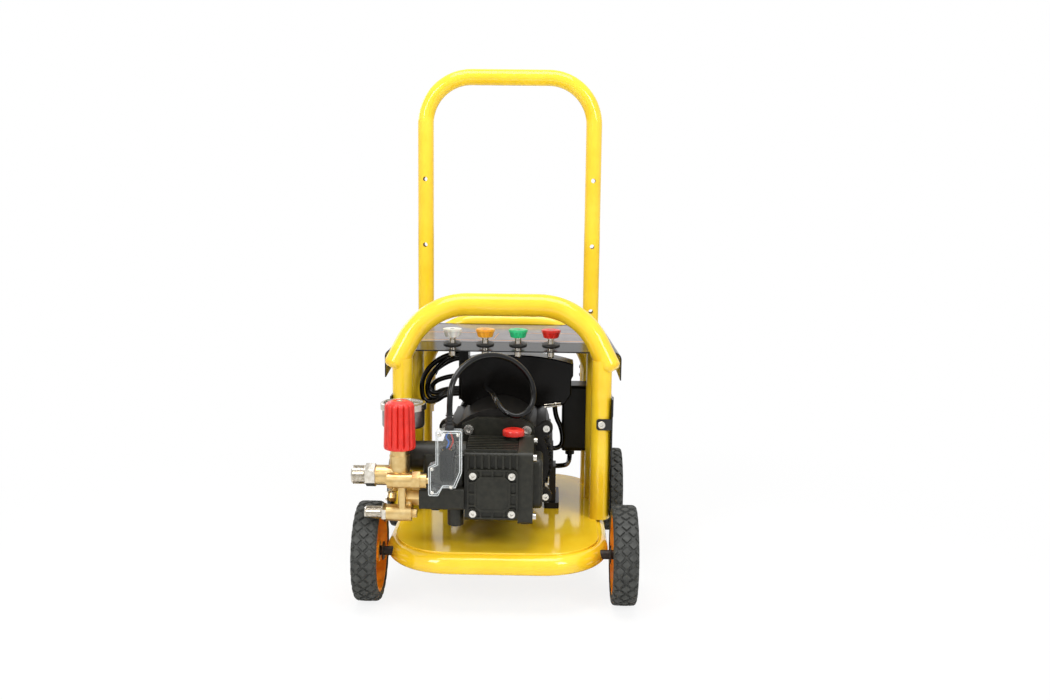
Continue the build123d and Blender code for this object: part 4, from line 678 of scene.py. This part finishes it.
# ---- turned and threaded fittings
def addHex(bm, place, width, length, soften=0.0008):
    # six-sided collar along the matrix's own Z, both ends chamfered
    made = bmesh.ops.create_circle(bm, segments=6, radius=width / math.sqrt(3), cap_ends=True)
    face = made["verts"][0].link_faces[0]
    whole = made["verts"] + raiseFaces(bm, [face], (0, 0, length))
    rims = [e for e in {e for v in whole for e in v.link_edges}
            if abs(e.verts[0].co.z - e.verts[1].co.z) < 1e-6]
    cut = bmesh.ops.bevel(bm, geom=rims, offset=soften, segments=2, profile=0.5, affect="EDGES", material=-1)
    whole = list({v for v in whole + cut["verts"] if v.is_valid})
    faces = list({f for v in whole for f in v.link_faces})
    bmesh.ops.recalc_face_normals(bm, faces=faces)
    bmesh.ops.transform(bm, matrix=place, verts=whole)


def addTurned(bm, place, outline, steps=56):
    # outline of (distance along the axis, radius) turned about the matrix's own Z; its ends lie on a bore or
    # on the axis
    outer = [bm.verts.new((radius, 0, along)) for along, radius in outline]
    edges = [bm.edges.new((a, b)) for a, b in zip(outer, outer[1:] + outer[:1])]
    made = bmesh.ops.spin(bm, geom=outer + edges, cent=(0, 0, 0), axis=(0, 0, 1), angle=2 * math.pi,
                          steps=steps, use_merge=True)
    whole = set(outer) | {v for v in made["geom_last"] if isinstance(v, bmesh.types.BMVert)}
    reached = set()
    todo = [v for v in whole if v.is_valid]
    while todo:
        vert = todo.pop()
        if vert not in reached:
            reached.add(vert)
            todo += [edge.other_vert(vert) for edge in vert.link_edges]
    bmesh.ops.remove_doubles(bm, verts=list(reached), dist=1e-6)
    reached = [v for v in reached if v.is_valid]
    bmesh.ops.recalc_face_normals(bm, faces=list({f for v in reached for f in v.link_faces}))
    bmesh.ops.transform(bm, matrix=place, verts=reached)


def threadOutline(start, end, crest, root, pitch, bore):
    # rolled thread between two ends, with a chamfered tip and a bored middle
    points = [(start, bore), (start, root)]
    turns = int((end - start - 0.002) / pitch)
    for turn in range(turns):
        along = start + 0.0008 + turn * pitch
        points += [(along, root), (along + 0.35 * pitch, crest), (along + 0.6 * pitch, crest)]
    points += [(end - 0.0008, root), (end, root - 0.0006), (end, bore + 0.0004), (end - 0.0004, bore)]
    return points


towardsLeft = Matrix.Rotation(math.radians(-90), 4, "Y")
fittings = {
    "outlet": {"place": (-0.174, -0.234, 0.206), "hexLength": 0.0147, "hexWidth": 0.030, "radius": 0.0137,
               "length": 0.0203, "bore": 0.008, "pitch": 0.0020, "depth": 0.0010},
    "inlet": {"place": (-0.1585, -0.236, 0.1505), "hexLength": 0.0063, "hexWidth": 0.0244, "radius": 0.00925,
              "length": 0.0257, "bore": 0.0055, "pitch": 0.0018, "depth": 0.0009},
}
for name, spec in fittings.items():
    bm = bmesh.new()
    place = Matrix.Translation(spec["place"]) @ towardsLeft
    addHex(bm, place @ Matrix.Rotation(math.radians(30), 4, "Z"), spec["hexWidth"], spec["hexLength"])
    end = spec["hexLength"] + spec["length"]
    addTurned(bm, place, threadOutline(spec["hexLength"], end, spec["radius"], spec["radius"] - spec["depth"],
                                       spec["pitch"], spec["bore"]), 72)
    piece = addPiece(name + "Thread", bm, "chrome", "trolley", 30)
    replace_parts(piece, "manifold_fittings")
smallNuts = {  # left face, y, z, width across flats, length, finish
    "upperUnionNut": (-0.151, -0.225, 0.1833, 0.0080, 0.006, "chrome"),
    "upperUnionTail": (-0.1445, -0.225, 0.1833, 0.0078, 0.0065, "brass"),
    "lowerUnionNut": (-0.1556, -0.225, 0.172, 0.012, 0.0059, "chrome"),
    "lowerUnionTail": (-0.1465, -0.225, 0.171, 0.012, 0.009, "brass"),
}
for name, (x, y, z, width, length, finish) in smallNuts.items():
    bm = bmesh.new()
    addHex(bm, Matrix.Translation((x, y, z)) @ towardsLeft, width, length, 0.0005)
    addPiece(name, bm, finish, "trolley", 30)
print("fittings made")


# ---- fluted knob of the unloader, with its cap screw
knob = {
    "centre": (-0.1395, -0.234),
    "foot": 0.2455,
    "height": 0.0715,
    "footRadius": 0.02325,
    "topRadius": 0.0215,
    "capRadius": 0.0182,
    "flutes": 14,
    "fluteDepth": 0.0042,
    "flankFoot": 0.003,  # above the foot, where the straight flank starts
    "shoulderDrop": 0.0095,  # below the top, where the flank ends
    "shoulderRise": 0.0075,
    "wellRadius": 0.0072,  # the recess for the cap screw
    "wellDepth": 0.0012,
    "screwRadius": 0.0042,
}


def makeKnob(spec):
    bm = bmesh.new()
    place = Matrix.Translation((*spec["centre"], spec["foot"]))
    height = spec["height"]
    foot = spec["footRadius"]
    flank = height - spec["flankFoot"] - spec["shoulderDrop"]
    taper = spec["topRadius"] - foot
    shoulder = spec["topRadius"] - spec["capRadius"] + 0.004
    outline = [(0.0004, 0.0), (0.0, 0.006), (0.0, foot - 0.003), (0.001, foot - 0.0008)]
    for step in range(29):  # fluted flank
        part = step / 28
        outline.append((spec["flankFoot"] + flank * part, foot + taper * part))
    for step in range(1, 7):  # shoulder
        angle = math.radians(15 * step)
        outline.append((height - spec["shoulderDrop"] + spec["shoulderRise"] * math.sin(angle),
                        spec["capRadius"] - 0.004 + shoulder * math.cos(angle)))
    floor = height - spec["wellDepth"]
    outline += [(height - 0.0009, spec["capRadius"] - 0.005), (height - 0.0004, spec["capRadius"] - 0.0062),
                (height - 0.0004, spec["wellRadius"]), (floor, spec["wellRadius"] - 0.0008), (floor, 0.0)]
    addTurned(bm, Matrix.Identity(4), outline, 336)
    for vert in bm.verts:
        radius = math.hypot(vert.co.x, vert.co.y)
        up = vert.co.z
        if radius < spec["capRadius"] - 0.0045:
            continue
        fade = min(max((up - 0.002) / 0.004, 0.0), 1.0)
        fade *= min(max((height - 0.0025 - up) / 0.008, 0.0), 1.0)
        wave = abs(math.cos(spec["flutes"] / 2 * math.atan2(vert.co.y, vert.co.x)))
        sink = spec["fluteDepth"] * (1 - min(1.0, 1.08 * wave ** 0.55)) * fade
        vert.co.x *= (radius - sink) / radius
        vert.co.y *= (radius - sink) / radius
    bmesh.ops.transform(bm, matrix=place, verts=bm.verts)
    piece = addPiece("unloaderGrip", bm, "knob_red", bodyOf["unloader_knob"], 60)
    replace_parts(piece, "unloader_knob")
    bm = bmesh.new()
    top = Matrix.Translation((*spec["centre"], spec["foot"] + height - 0.0011))
    radius = spec["screwRadius"]
    addTurned(bm, top, [(0.0, 0.0), (0.0, radius), (0.0006, radius), (0.001, radius - 0.0008),
                        (0.001, 0.0018), (0.0003, 0.0016), (0.0003, 0.0)], 32)
    addPiece("unloaderScrew", bm, "steel", bodyOf["unloader_knob"], 30)


makeKnob(knob)
print("knob made")


# ---- ribbed gland of the stop switch
def ribbedOutline(start, length, wide, narrow, ribs, depth):
    # soft rings that shrink towards the lead
    points = [(start, 0.0), (start, wide)]
    for rib in range(ribs):
        part = rib / ribs
        radius = wide + (narrow - wide) * part
        along = start + (length - start) * (part + 0.12 / ribs)
        step = (length - start) / ribs
        points += [(along, radius), (along + 0.42 * step, radius - 0.0001),
                   (along + 0.52 * step, radius - depth), (along + 0.86 * step, radius - depth)]
    points += [(length, narrow), (length, 0.0)]
    return points


gland = {
    "foot": (-0.066, -0.248, 0.278),
    "nut": 0.013,
    "nutHeight": 0.006,
    "height": 0.0238,
    "wide": 0.0064,
    "narrow": 0.0054,
    "ribs": 4,
    "ribDepth": 0.0019,
}
bm = bmesh.new()
addHex(bm, Matrix.Translation(gland["foot"]), gland["nut"], gland["nutHeight"], 0.0006)
addTurned(bm, Matrix.Translation(gland["foot"]),
          ribbedOutline(gland["nutHeight"] - 0.0002, gland["height"], gland["wide"], gland["narrow"],
                        gland["ribs"], gland["ribDepth"]), 40)
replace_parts(addPiece("switchGland", bm, "rubber_black", bodyOf["switch_gland"], 40),
            "switch_gland")
print("gland made")


# ---- spring latch of the capacitor cover
latch = {
    "place": (0.082, 0.030, 0.2605),
    "slant": 8.0,
    "leverLength": 0.029,
    "leverRadius": 0.0014,
    "spread": 0.0042,  # between the two legs
    "hingeLength": 0.0084,
    "hingeRadius": 0.0021,
}


def makeLatch(spec):
    bm = bmesh.new()
    place = Matrix.Translation(spec["place"]) @ Matrix.Rotation(math.radians(-spec["slant"]), 4, "Y")
    along = Matrix.Rotation(math.radians(90), 4, "Y")
    length = spec["leverLength"]
    wire = spec["leverRadius"]
    for sign in (-1, 1):  # two legs of the sprung wire
        leg = place @ Matrix.Translation((-length / 2, 0, sign * spec["spread"] / 2)) @ along
        addTurned(bm, leg, [(0.0, 0.0), (0.0003, wire * 0.8), (0.001, wire), (length - 0.001, wire),
                            (length, wire * 0.8), (length, 0.0)], 16)
    height = spec["hingeLength"]
    barrel = spec["hingeRadius"]
    hinge = place @ Matrix.Translation((length * 0.18, 0, -height / 2))
    addTurned(bm, hinge, [(0.0, 0.0), (0.0, barrel - 0.0005), (0.0006, barrel), (height - 0.0006, barrel),
                          (height, barrel - 0.0005), (height, 0.0)], 20)
    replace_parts(addPiece("coverLatch", bm, "chrome", bodyOf["cover_latch"], 40), "cover_latch")


makeLatch(latch)
print("latch made")


# ---- oil filler cap: red grip on a black skirt
capHeight = 0.010
capParts = {  # finish, slot, outline from the seat up
    "capGrip": ("knob_red", "knob_red", (
        (0.0044, 0.0), (0.0044, 0.0165), (0.0066, 0.0165), (0.0081, 0.0157), (0.0092, 0.0138),
        (0.0098, 0.0104), (0.0100, 0.0060), (0.0100, 0.0))),
    "capSkirt": ("cap_black", "pump_black", (
        (-0.0120, 0.0), (-0.0120, 0.0058), (-0.0001, 0.0058), (-0.0001, 0.0152), (0.0012, 0.0158),
        (0.0044, 0.0158), (0.0044, 0.0))),
}
low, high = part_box("oil_cap")
capSeat = Matrix.Translation(((low.x + high.x) / 2, (low.y + high.y) / 2, high.z - capHeight))
for name, (finish, slotName, outline) in capParts.items():
    bm = bmesh.new()
    addTurned(bm, capSeat, outline, 64)
    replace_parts(addPiece(name, bm, finish, bodyOf["oil_cap"], 30), "oil_cap")
print("filler cap made")


# ---- spray tips: a fluted moulded grip on a nickel-plated stem
tips = {
    "lobes": 12,
    # below the top, radius as a share of the flange, depth of the flutes as a share of the radius
    "levels": ((0.0008, 0.42, 0.0), (0.0, 0.50, 0.0), (0.0, 0.88, 0.02), (0.0008, 0.98, 0.04),
               (0.0042, 0.99, 0.04), (0.0050, 0.91, 0.08), (0.0090, 0.84, 0.12), (0.0128, 0.77, 0.12),
               (0.0136, 0.70, 0.0)),
    "stemRadius": 0.0062,
    "stemGroove": 0.0007,
    "stemStart": 0.0126,  # below the top, inside the grip
    "stemEnd": 0.0205,  # below the top, where the stem enters its grommet
    "boreRadius": 0.0036,
    "boreDepth": 0.0009,
}


def addFluted(bm, centre, top, flange, spec):
    steps = spec["lobes"] * 8
    rings = []
    for below, share, flute in spec["levels"]:
        ring = []
        for step in range(steps):
            angle = 2 * math.pi * step / steps
            radius = flange * share * (1 - flute * (0.5 - 0.5 * math.cos(spec["lobes"] * angle)))
            ring.append(bm.verts.new((centre.x + radius * math.cos(angle),
                                      centre.y + radius * math.sin(angle), top - below)))
        rings.append(ring)
    for upper, lower in zip(rings, rings[1:]):
        for step in range(steps):
            following = (step + 1) % steps
            bm.faces.new((upper[step], upper[following], lower[following], lower[step]))
    bm.faces.new(rings[0])
    bm.faces.new(rings[-1])
    bmesh.ops.recalc_face_normals(bm, faces=bm.faces)


def makeTip(node, spec):
    low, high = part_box(node)
    centre = (low + high) / 2
    bm = bmesh.new()
    addFluted(bm, centre, high.z, (high.x - low.x) / 2, spec)
    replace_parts(addPiece(node + "_grip", bm, slotOf[node], bodyOf[node], 32), node)
    bm = mergedCopy(node)
    cutCopy(bm, (0, 0, high.z - spec["stemEnd"]), (0, 0, 1), True)
    closeHoles(bm)
    radius = spec["stemRadius"]
    waist = radius - spec["stemGroove"]
    length = spec["stemEnd"] - spec["stemStart"]
    addTurned(bm, Matrix.Translation((centre.x, centre.y, high.z - spec["stemEnd"] - 0.0002)),
              [(0.0, 0.0), (0.0, radius), (0.3 * length, radius), (0.38 * length, waist),
               (0.52 * length, waist), (0.6 * length, radius), (length, radius), (length, 0.0)], 40)
    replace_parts(addPiece(node + "_stem", bm, "chrome", bodyOf[node], 35), node)
    bm = bmesh.new()
    bore = spec["boreRadius"]
    addTurned(bm, Matrix.Translation((centre.x, centre.y, high.z - spec["boreDepth"])),
              [(0.0, 0.0), (0.0, bore), (0.0006, bore), (0.0006, 0.6 * bore), (0.0003, 0.5 * bore),
               (0.0003, 0.0)], 32)
    addPiece(node + "_nozzle", bm, "gauge_shell", bodyOf[node], 30)


for node in ("tip_white", "tip_yellow", "tip_green", "tip_red"):
    makeTip(node, tips)
print("tips made")


# ---- side plates held by one front tab each
sidePlate = {
    "inner": 0.1761,  # from the middle to the sheet's inner face
    "lowerTabTop": 0.18,  # everything of the front tab below this height goes
    "boltReach": 0.1715,
    "holeHeight": 0.130,
    "holeReach": 0.0052,
}


def makeSidePlate(side, sign, spec):
    plate = "side_plate_" + side
    bm = mergedCopy(plate)
    cutCopy(bm, (sign * spec["inner"], 0, 0), (1, 0, 0), False)
    tab = [v for v in bm.verts if abs(v.co.x) < spec["inner"] - 1e-5 and v.co.z < spec["lowerTabTop"]]
    bmesh.ops.delete(bm, geom=tab, context="VERTS")
    closeHoles(bm)
    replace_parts(addPiece(plate + "_sheet", bm, "panel_black", bodyOf[plate], 30), plate)
    post = "front_post_" + side
    bm = mergedCopy(post)
    low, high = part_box(post)
    rim = [v for v in bm.verts if v.co.y < (low.y + high.y) / 2 and
           math.hypot(v.co.x - (low.x + high.x) / 2, v.co.z - spec["holeHeight"]) < spec["holeReach"]]
    bmesh.ops.delete(bm, geom=rim, context="VERTS")
    closeHoles(bm)
    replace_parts(addPiece(post + "_tube", bm, "frame_yellow", bodyOf[post], 35), post)


makeSidePlate("left", -1, sidePlate)
makeSidePlate("right", 1, sidePlate)
bm = mergedCopy("frame_bolts")
spare = [v for v in bm.verts if abs(v.co.x) < sidePlate["boltReach"] and v.co.y < 0 and
         v.co.z < sidePlate["lowerTabTop"]]
bmesh.ops.delete(bm, geom=spare, context="VERTS")
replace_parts(addPiece("frameBolts", bm, "steel", bodyOf["frame_bolts"], 30), "frame_bolts")
print("side plates made")


# ---- inside and on the stop switch: cover screws, pale lines of painted highlight along the shell's edges, terminals and wires
switchParts = {
    "screws": ((-0.080, 0.2725), (-0.053, 0.2725), (-0.0905, 0.222), (-0.090, 0.1874), (-0.063, 0.196)),
    "screwFront": -0.2580,
    "faceFront": -0.2570,
    # painted highlight: pale lines along the shell's outline, inset by these distances
    "rims": {"shellHighlightOuter": 0.0008, "shellHighlightInner": 0.0034},  # how far inside the outline each lies
    "highlightWidth": 0.0014,
    # corners of the shell, each with the way that leads inside
    "outline": ((-0.0483, 0.277, -0.4, -0.4), (-0.0473, 0.2755, -1, -0.6), (-0.0473, 0.2165, -1, 0.5),
                (-0.0563, 0.194, -0.8, 1), (-0.0763, 0.194, 0.5, 1), (-0.0813, 0.182, -0.6, 1),
                (-0.0945, 0.182, 0.8, 1), (-0.096, 0.1835, 1, 0.8), (-0.096, 0.2245, 1, -0.5),
                (-0.0853, 0.2299, 1, -0.5), (-0.0853, 0.2765, 1, -0.6), (-0.0838, 0.278, 0.6, -1),
                (-0.0488, 0.278, -0.6, -1)),
    "wires": {
        "wireBlue": ("wire_blue", [(-0.067, -0.248, 0.274), (-0.073, -0.252, 0.268), (-0.064, -0.253, 0.261),
                                   (-0.070, -0.252, 0.252)]),
        "wireRed": ("wire_red", [(-0.065, -0.246, 0.274), (-0.060, -0.250, 0.264), (-0.062, -0.252, 0.256),
                                 (-0.066, -0.252, 0.250)]),
        "wireEarth": ("lead_black", [(-0.066, -0.244, 0.274), (-0.058, -0.247, 0.262),
                                     (-0.056, -0.250, 0.246), (-0.060, -0.252, 0.236)]),
    },
    "wireWidth": 0.0022,
    "terminals": ((-0.074, 0.248), (-0.064, 0.248), (-0.074, 0.206), (-0.064, 0.206)),
    "terminalFront": -0.2505,
    "terminalWidth": 0.0042,
    "terminalLength": 0.0022,
}


def makeSwitchParts(spec):
    towardsFront = Matrix.Rotation(math.radians(90), 4, "X")
    bm = bmesh.new()
    for x, z in spec["screws"]:
        addTurned(bm, Matrix.Translation((x, spec["screwFront"], z)) @ towardsFront,
                  [(0.0, 0.0), (0.0, 0.0027), (0.0007, 0.0025), (0.0012, 0.0016), (0.0012, 0.0009),
                   (0.0005, 0.0007), (0.0005, 0.0)], 24)
    addPiece("shellScrews", bm, "steel", bodyOf["switch_housing"], 30)
    # pale lines of painted highlight along the shell's edges
    for name, inset in spec["rims"].items():
        points = [(x + inset * towardsX, spec["faceFront"], z + inset * towardsZ)
                  for x, z, towardsX, towardsZ in spec["outline"]]
        rim = addCurve(name, "POLY", points, spec["highlightWidth"], 2, "clear_edge_highlight")
        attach(rim, bodyOf["switch_housing"])
    bm = bmesh.new()
    for x, z in spec["terminals"]:
        addHex(bm, Matrix.Translation((x, spec["terminalFront"], z)) @ towardsFront, spec["terminalWidth"],
               spec["terminalLength"], 0.0003)
    addPiece("switchTerminals", bm, "brass", bodyOf["switch_body"], 30)
    for name, (finish, points) in spec["wires"].items():
        wire = addCurve(name, "NURBS", points, spec["wireWidth"], 3, finish)
        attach(wire, bodyOf["switch_housing"])


makeSwitchParts(switchParts)
print("switch fitted out")


# ---- dial of the pressure gauge
dial = {
    "centre": (-0.1425, -0.168, 0.2942),
    "radius": 0.0312,
    "startAngle": 225,
    "sweep": 270,
    "steps": 25,
    "numbers": ("0", "50", "100", "150", "200", "250"),
    "textSize": 0.0062,
    "textInset": 0.0115,
    "markInset": 0.0025,
    "longMark": (0.0048, 0.0007),  # length and width
    "shortMark": (0.0026, 0.0004),
}


def makeDial(spec):
    place = Matrix.Translation(spec["centre"])
    bm = bmesh.new()
    addTurned(bm, place, [(0.0, 0.0), (0.0, spec["radius"]), (0.0004, spec["radius"]), (0.0004, 0.0)], 64)
    addPiece("dialFace", bm, "dial_white", bodyOf["gauge_case"], 30)
    bm = bmesh.new()
    for step in range(spec["steps"] + 1):
        angle = math.radians(spec["startAngle"] - spec["sweep"] * step / spec["steps"])
        length, width = spec["shortMark"] if step % 5 else spec["longMark"]
        out = Matrix.Translation((spec["radius"] - spec["markInset"] - length / 2, 0, 0.00045))
        mark = place @ Matrix.Rotation(angle, 4, "Z") @ out
        bmesh.ops.create_cube(bm, size=1, matrix=mark @ Matrix.Diagonal((length, width, 0.0001, 1)))
    addPiece("dialMarks", bm, "print_black", bodyOf["gauge_case"], 30)
    for index, number in enumerate(spec["numbers"]):
        angle = math.radians(spec["startAngle"] - spec["sweep"] * index / (len(spec["numbers"]) - 1))
        text = bpy.data.curves.new("number", "FONT")
        text.body = number
        text.size = spec["textSize"]
        text.align_x = "CENTER"
        text.align_y = "CENTER"
        holder = bpy.data.objects.new("number", text)
        mesh = bpy.data.meshes.new_from_object(holder)
        bpy.data.objects.remove(holder)
        reach = spec["radius"] - spec["textInset"]
        mesh.transform(place @ Matrix.Translation((reach * math.cos(angle), reach * math.sin(angle), 0.0005)))
        bm = bmesh.new()
        bm.from_mesh(mesh)
        addPiece("dialNumber" + number, bm, "print_black", bodyOf["gauge_case"], 30)


makeDial(dial)
print("dial made")


# ---- overlay on the top panel: a grey sheet of painted reflection, with printed lines on it
overlay = {
    "low": (-0.014, 0.3575),  # front edge of the panel, y and z
    "high": (0.156, 0.3805),
    "start": 0.052,  # along the slope, behind the row of tips
    "end": 0.163,
    "frontHalf": 0.170,
    "rearHalf": 0.157,
    "corner": 0.006,
    "thickness": 0.0003,
    # printed lines, each by its two ends: across the panel and up its slope
    "lines": (((-0.150, 0.062), (-0.140, 0.110)), ((-0.140, 0.110), (-0.024, 0.110)),
              ((0.006, 0.110), (0.134, 0.110)), ((-0.012, 0.106), (-0.018, 0.072)),
              ((0.134, 0.110), (0.150, 0.062)), ((-0.146, 0.062), (0.146, 0.062))),
    "lineWidth": 0.0014,
    "lineHeight": 0.00012,
}


def makeOverlay(spec):
    rise = Vector((0, spec["high"][0] - spec["low"][0], spec["high"][1] - spec["low"][1])).normalized()
    normal = Vector((1, 0, 0)).cross(rise)
    origin = Vector((0, *spec["low"]))
    bm = bmesh.new()
    corners = [(-spec["frontHalf"], spec["start"]), (spec["frontHalf"], spec["start"]),
               (spec["rearHalf"], spec["end"]), (-spec["rearHalf"], spec["end"])]
    sheet = bm.faces.new([bm.verts.new(origin + Vector((x, 0, 0)) + rise * along) for x, along in corners])
    bmesh.ops.bevel(bm, geom=list(sheet.verts), offset=spec["corner"], segments=5, profile=0.5,
                    affect="VERTICES", material=-1)
    raiseFaces(bm, list(bm.faces), normal * spec["thickness"])
    bmesh.ops.recalc_face_normals(bm, faces=bm.faces)
    # grey sheet whose colour is painted reflection of the pale surroundings in the black panel; the lines
    # below are print
    addPiece("panelReflectionSheet", bm, "overlay_painted_reflection", bodyOf["top_panel"], 30)
    bm = bmesh.new()
    for start, end in spec["lines"]:
        first, last = [origin + Vector((x, 0, 0)) + rise * along + normal * spec["thickness"]
                       for x, along in (start, end)]
        side = (last - first).cross(normal).normalized() * spec["lineWidth"] / 2
        ring = (first - side, last - side, last + side, first + side)
        strip = bm.faces.new([bm.verts.new(p) for p in ring])
        raiseFaces(bm, [strip], normal * spec["lineHeight"])
    bmesh.ops.recalc_face_normals(bm, faces=bm.faces)
    addPiece("panelLines", bm, "line_orange", bodyOf["top_panel"], 30)


makeOverlay(overlay)
print("overlay laid")


low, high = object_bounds()
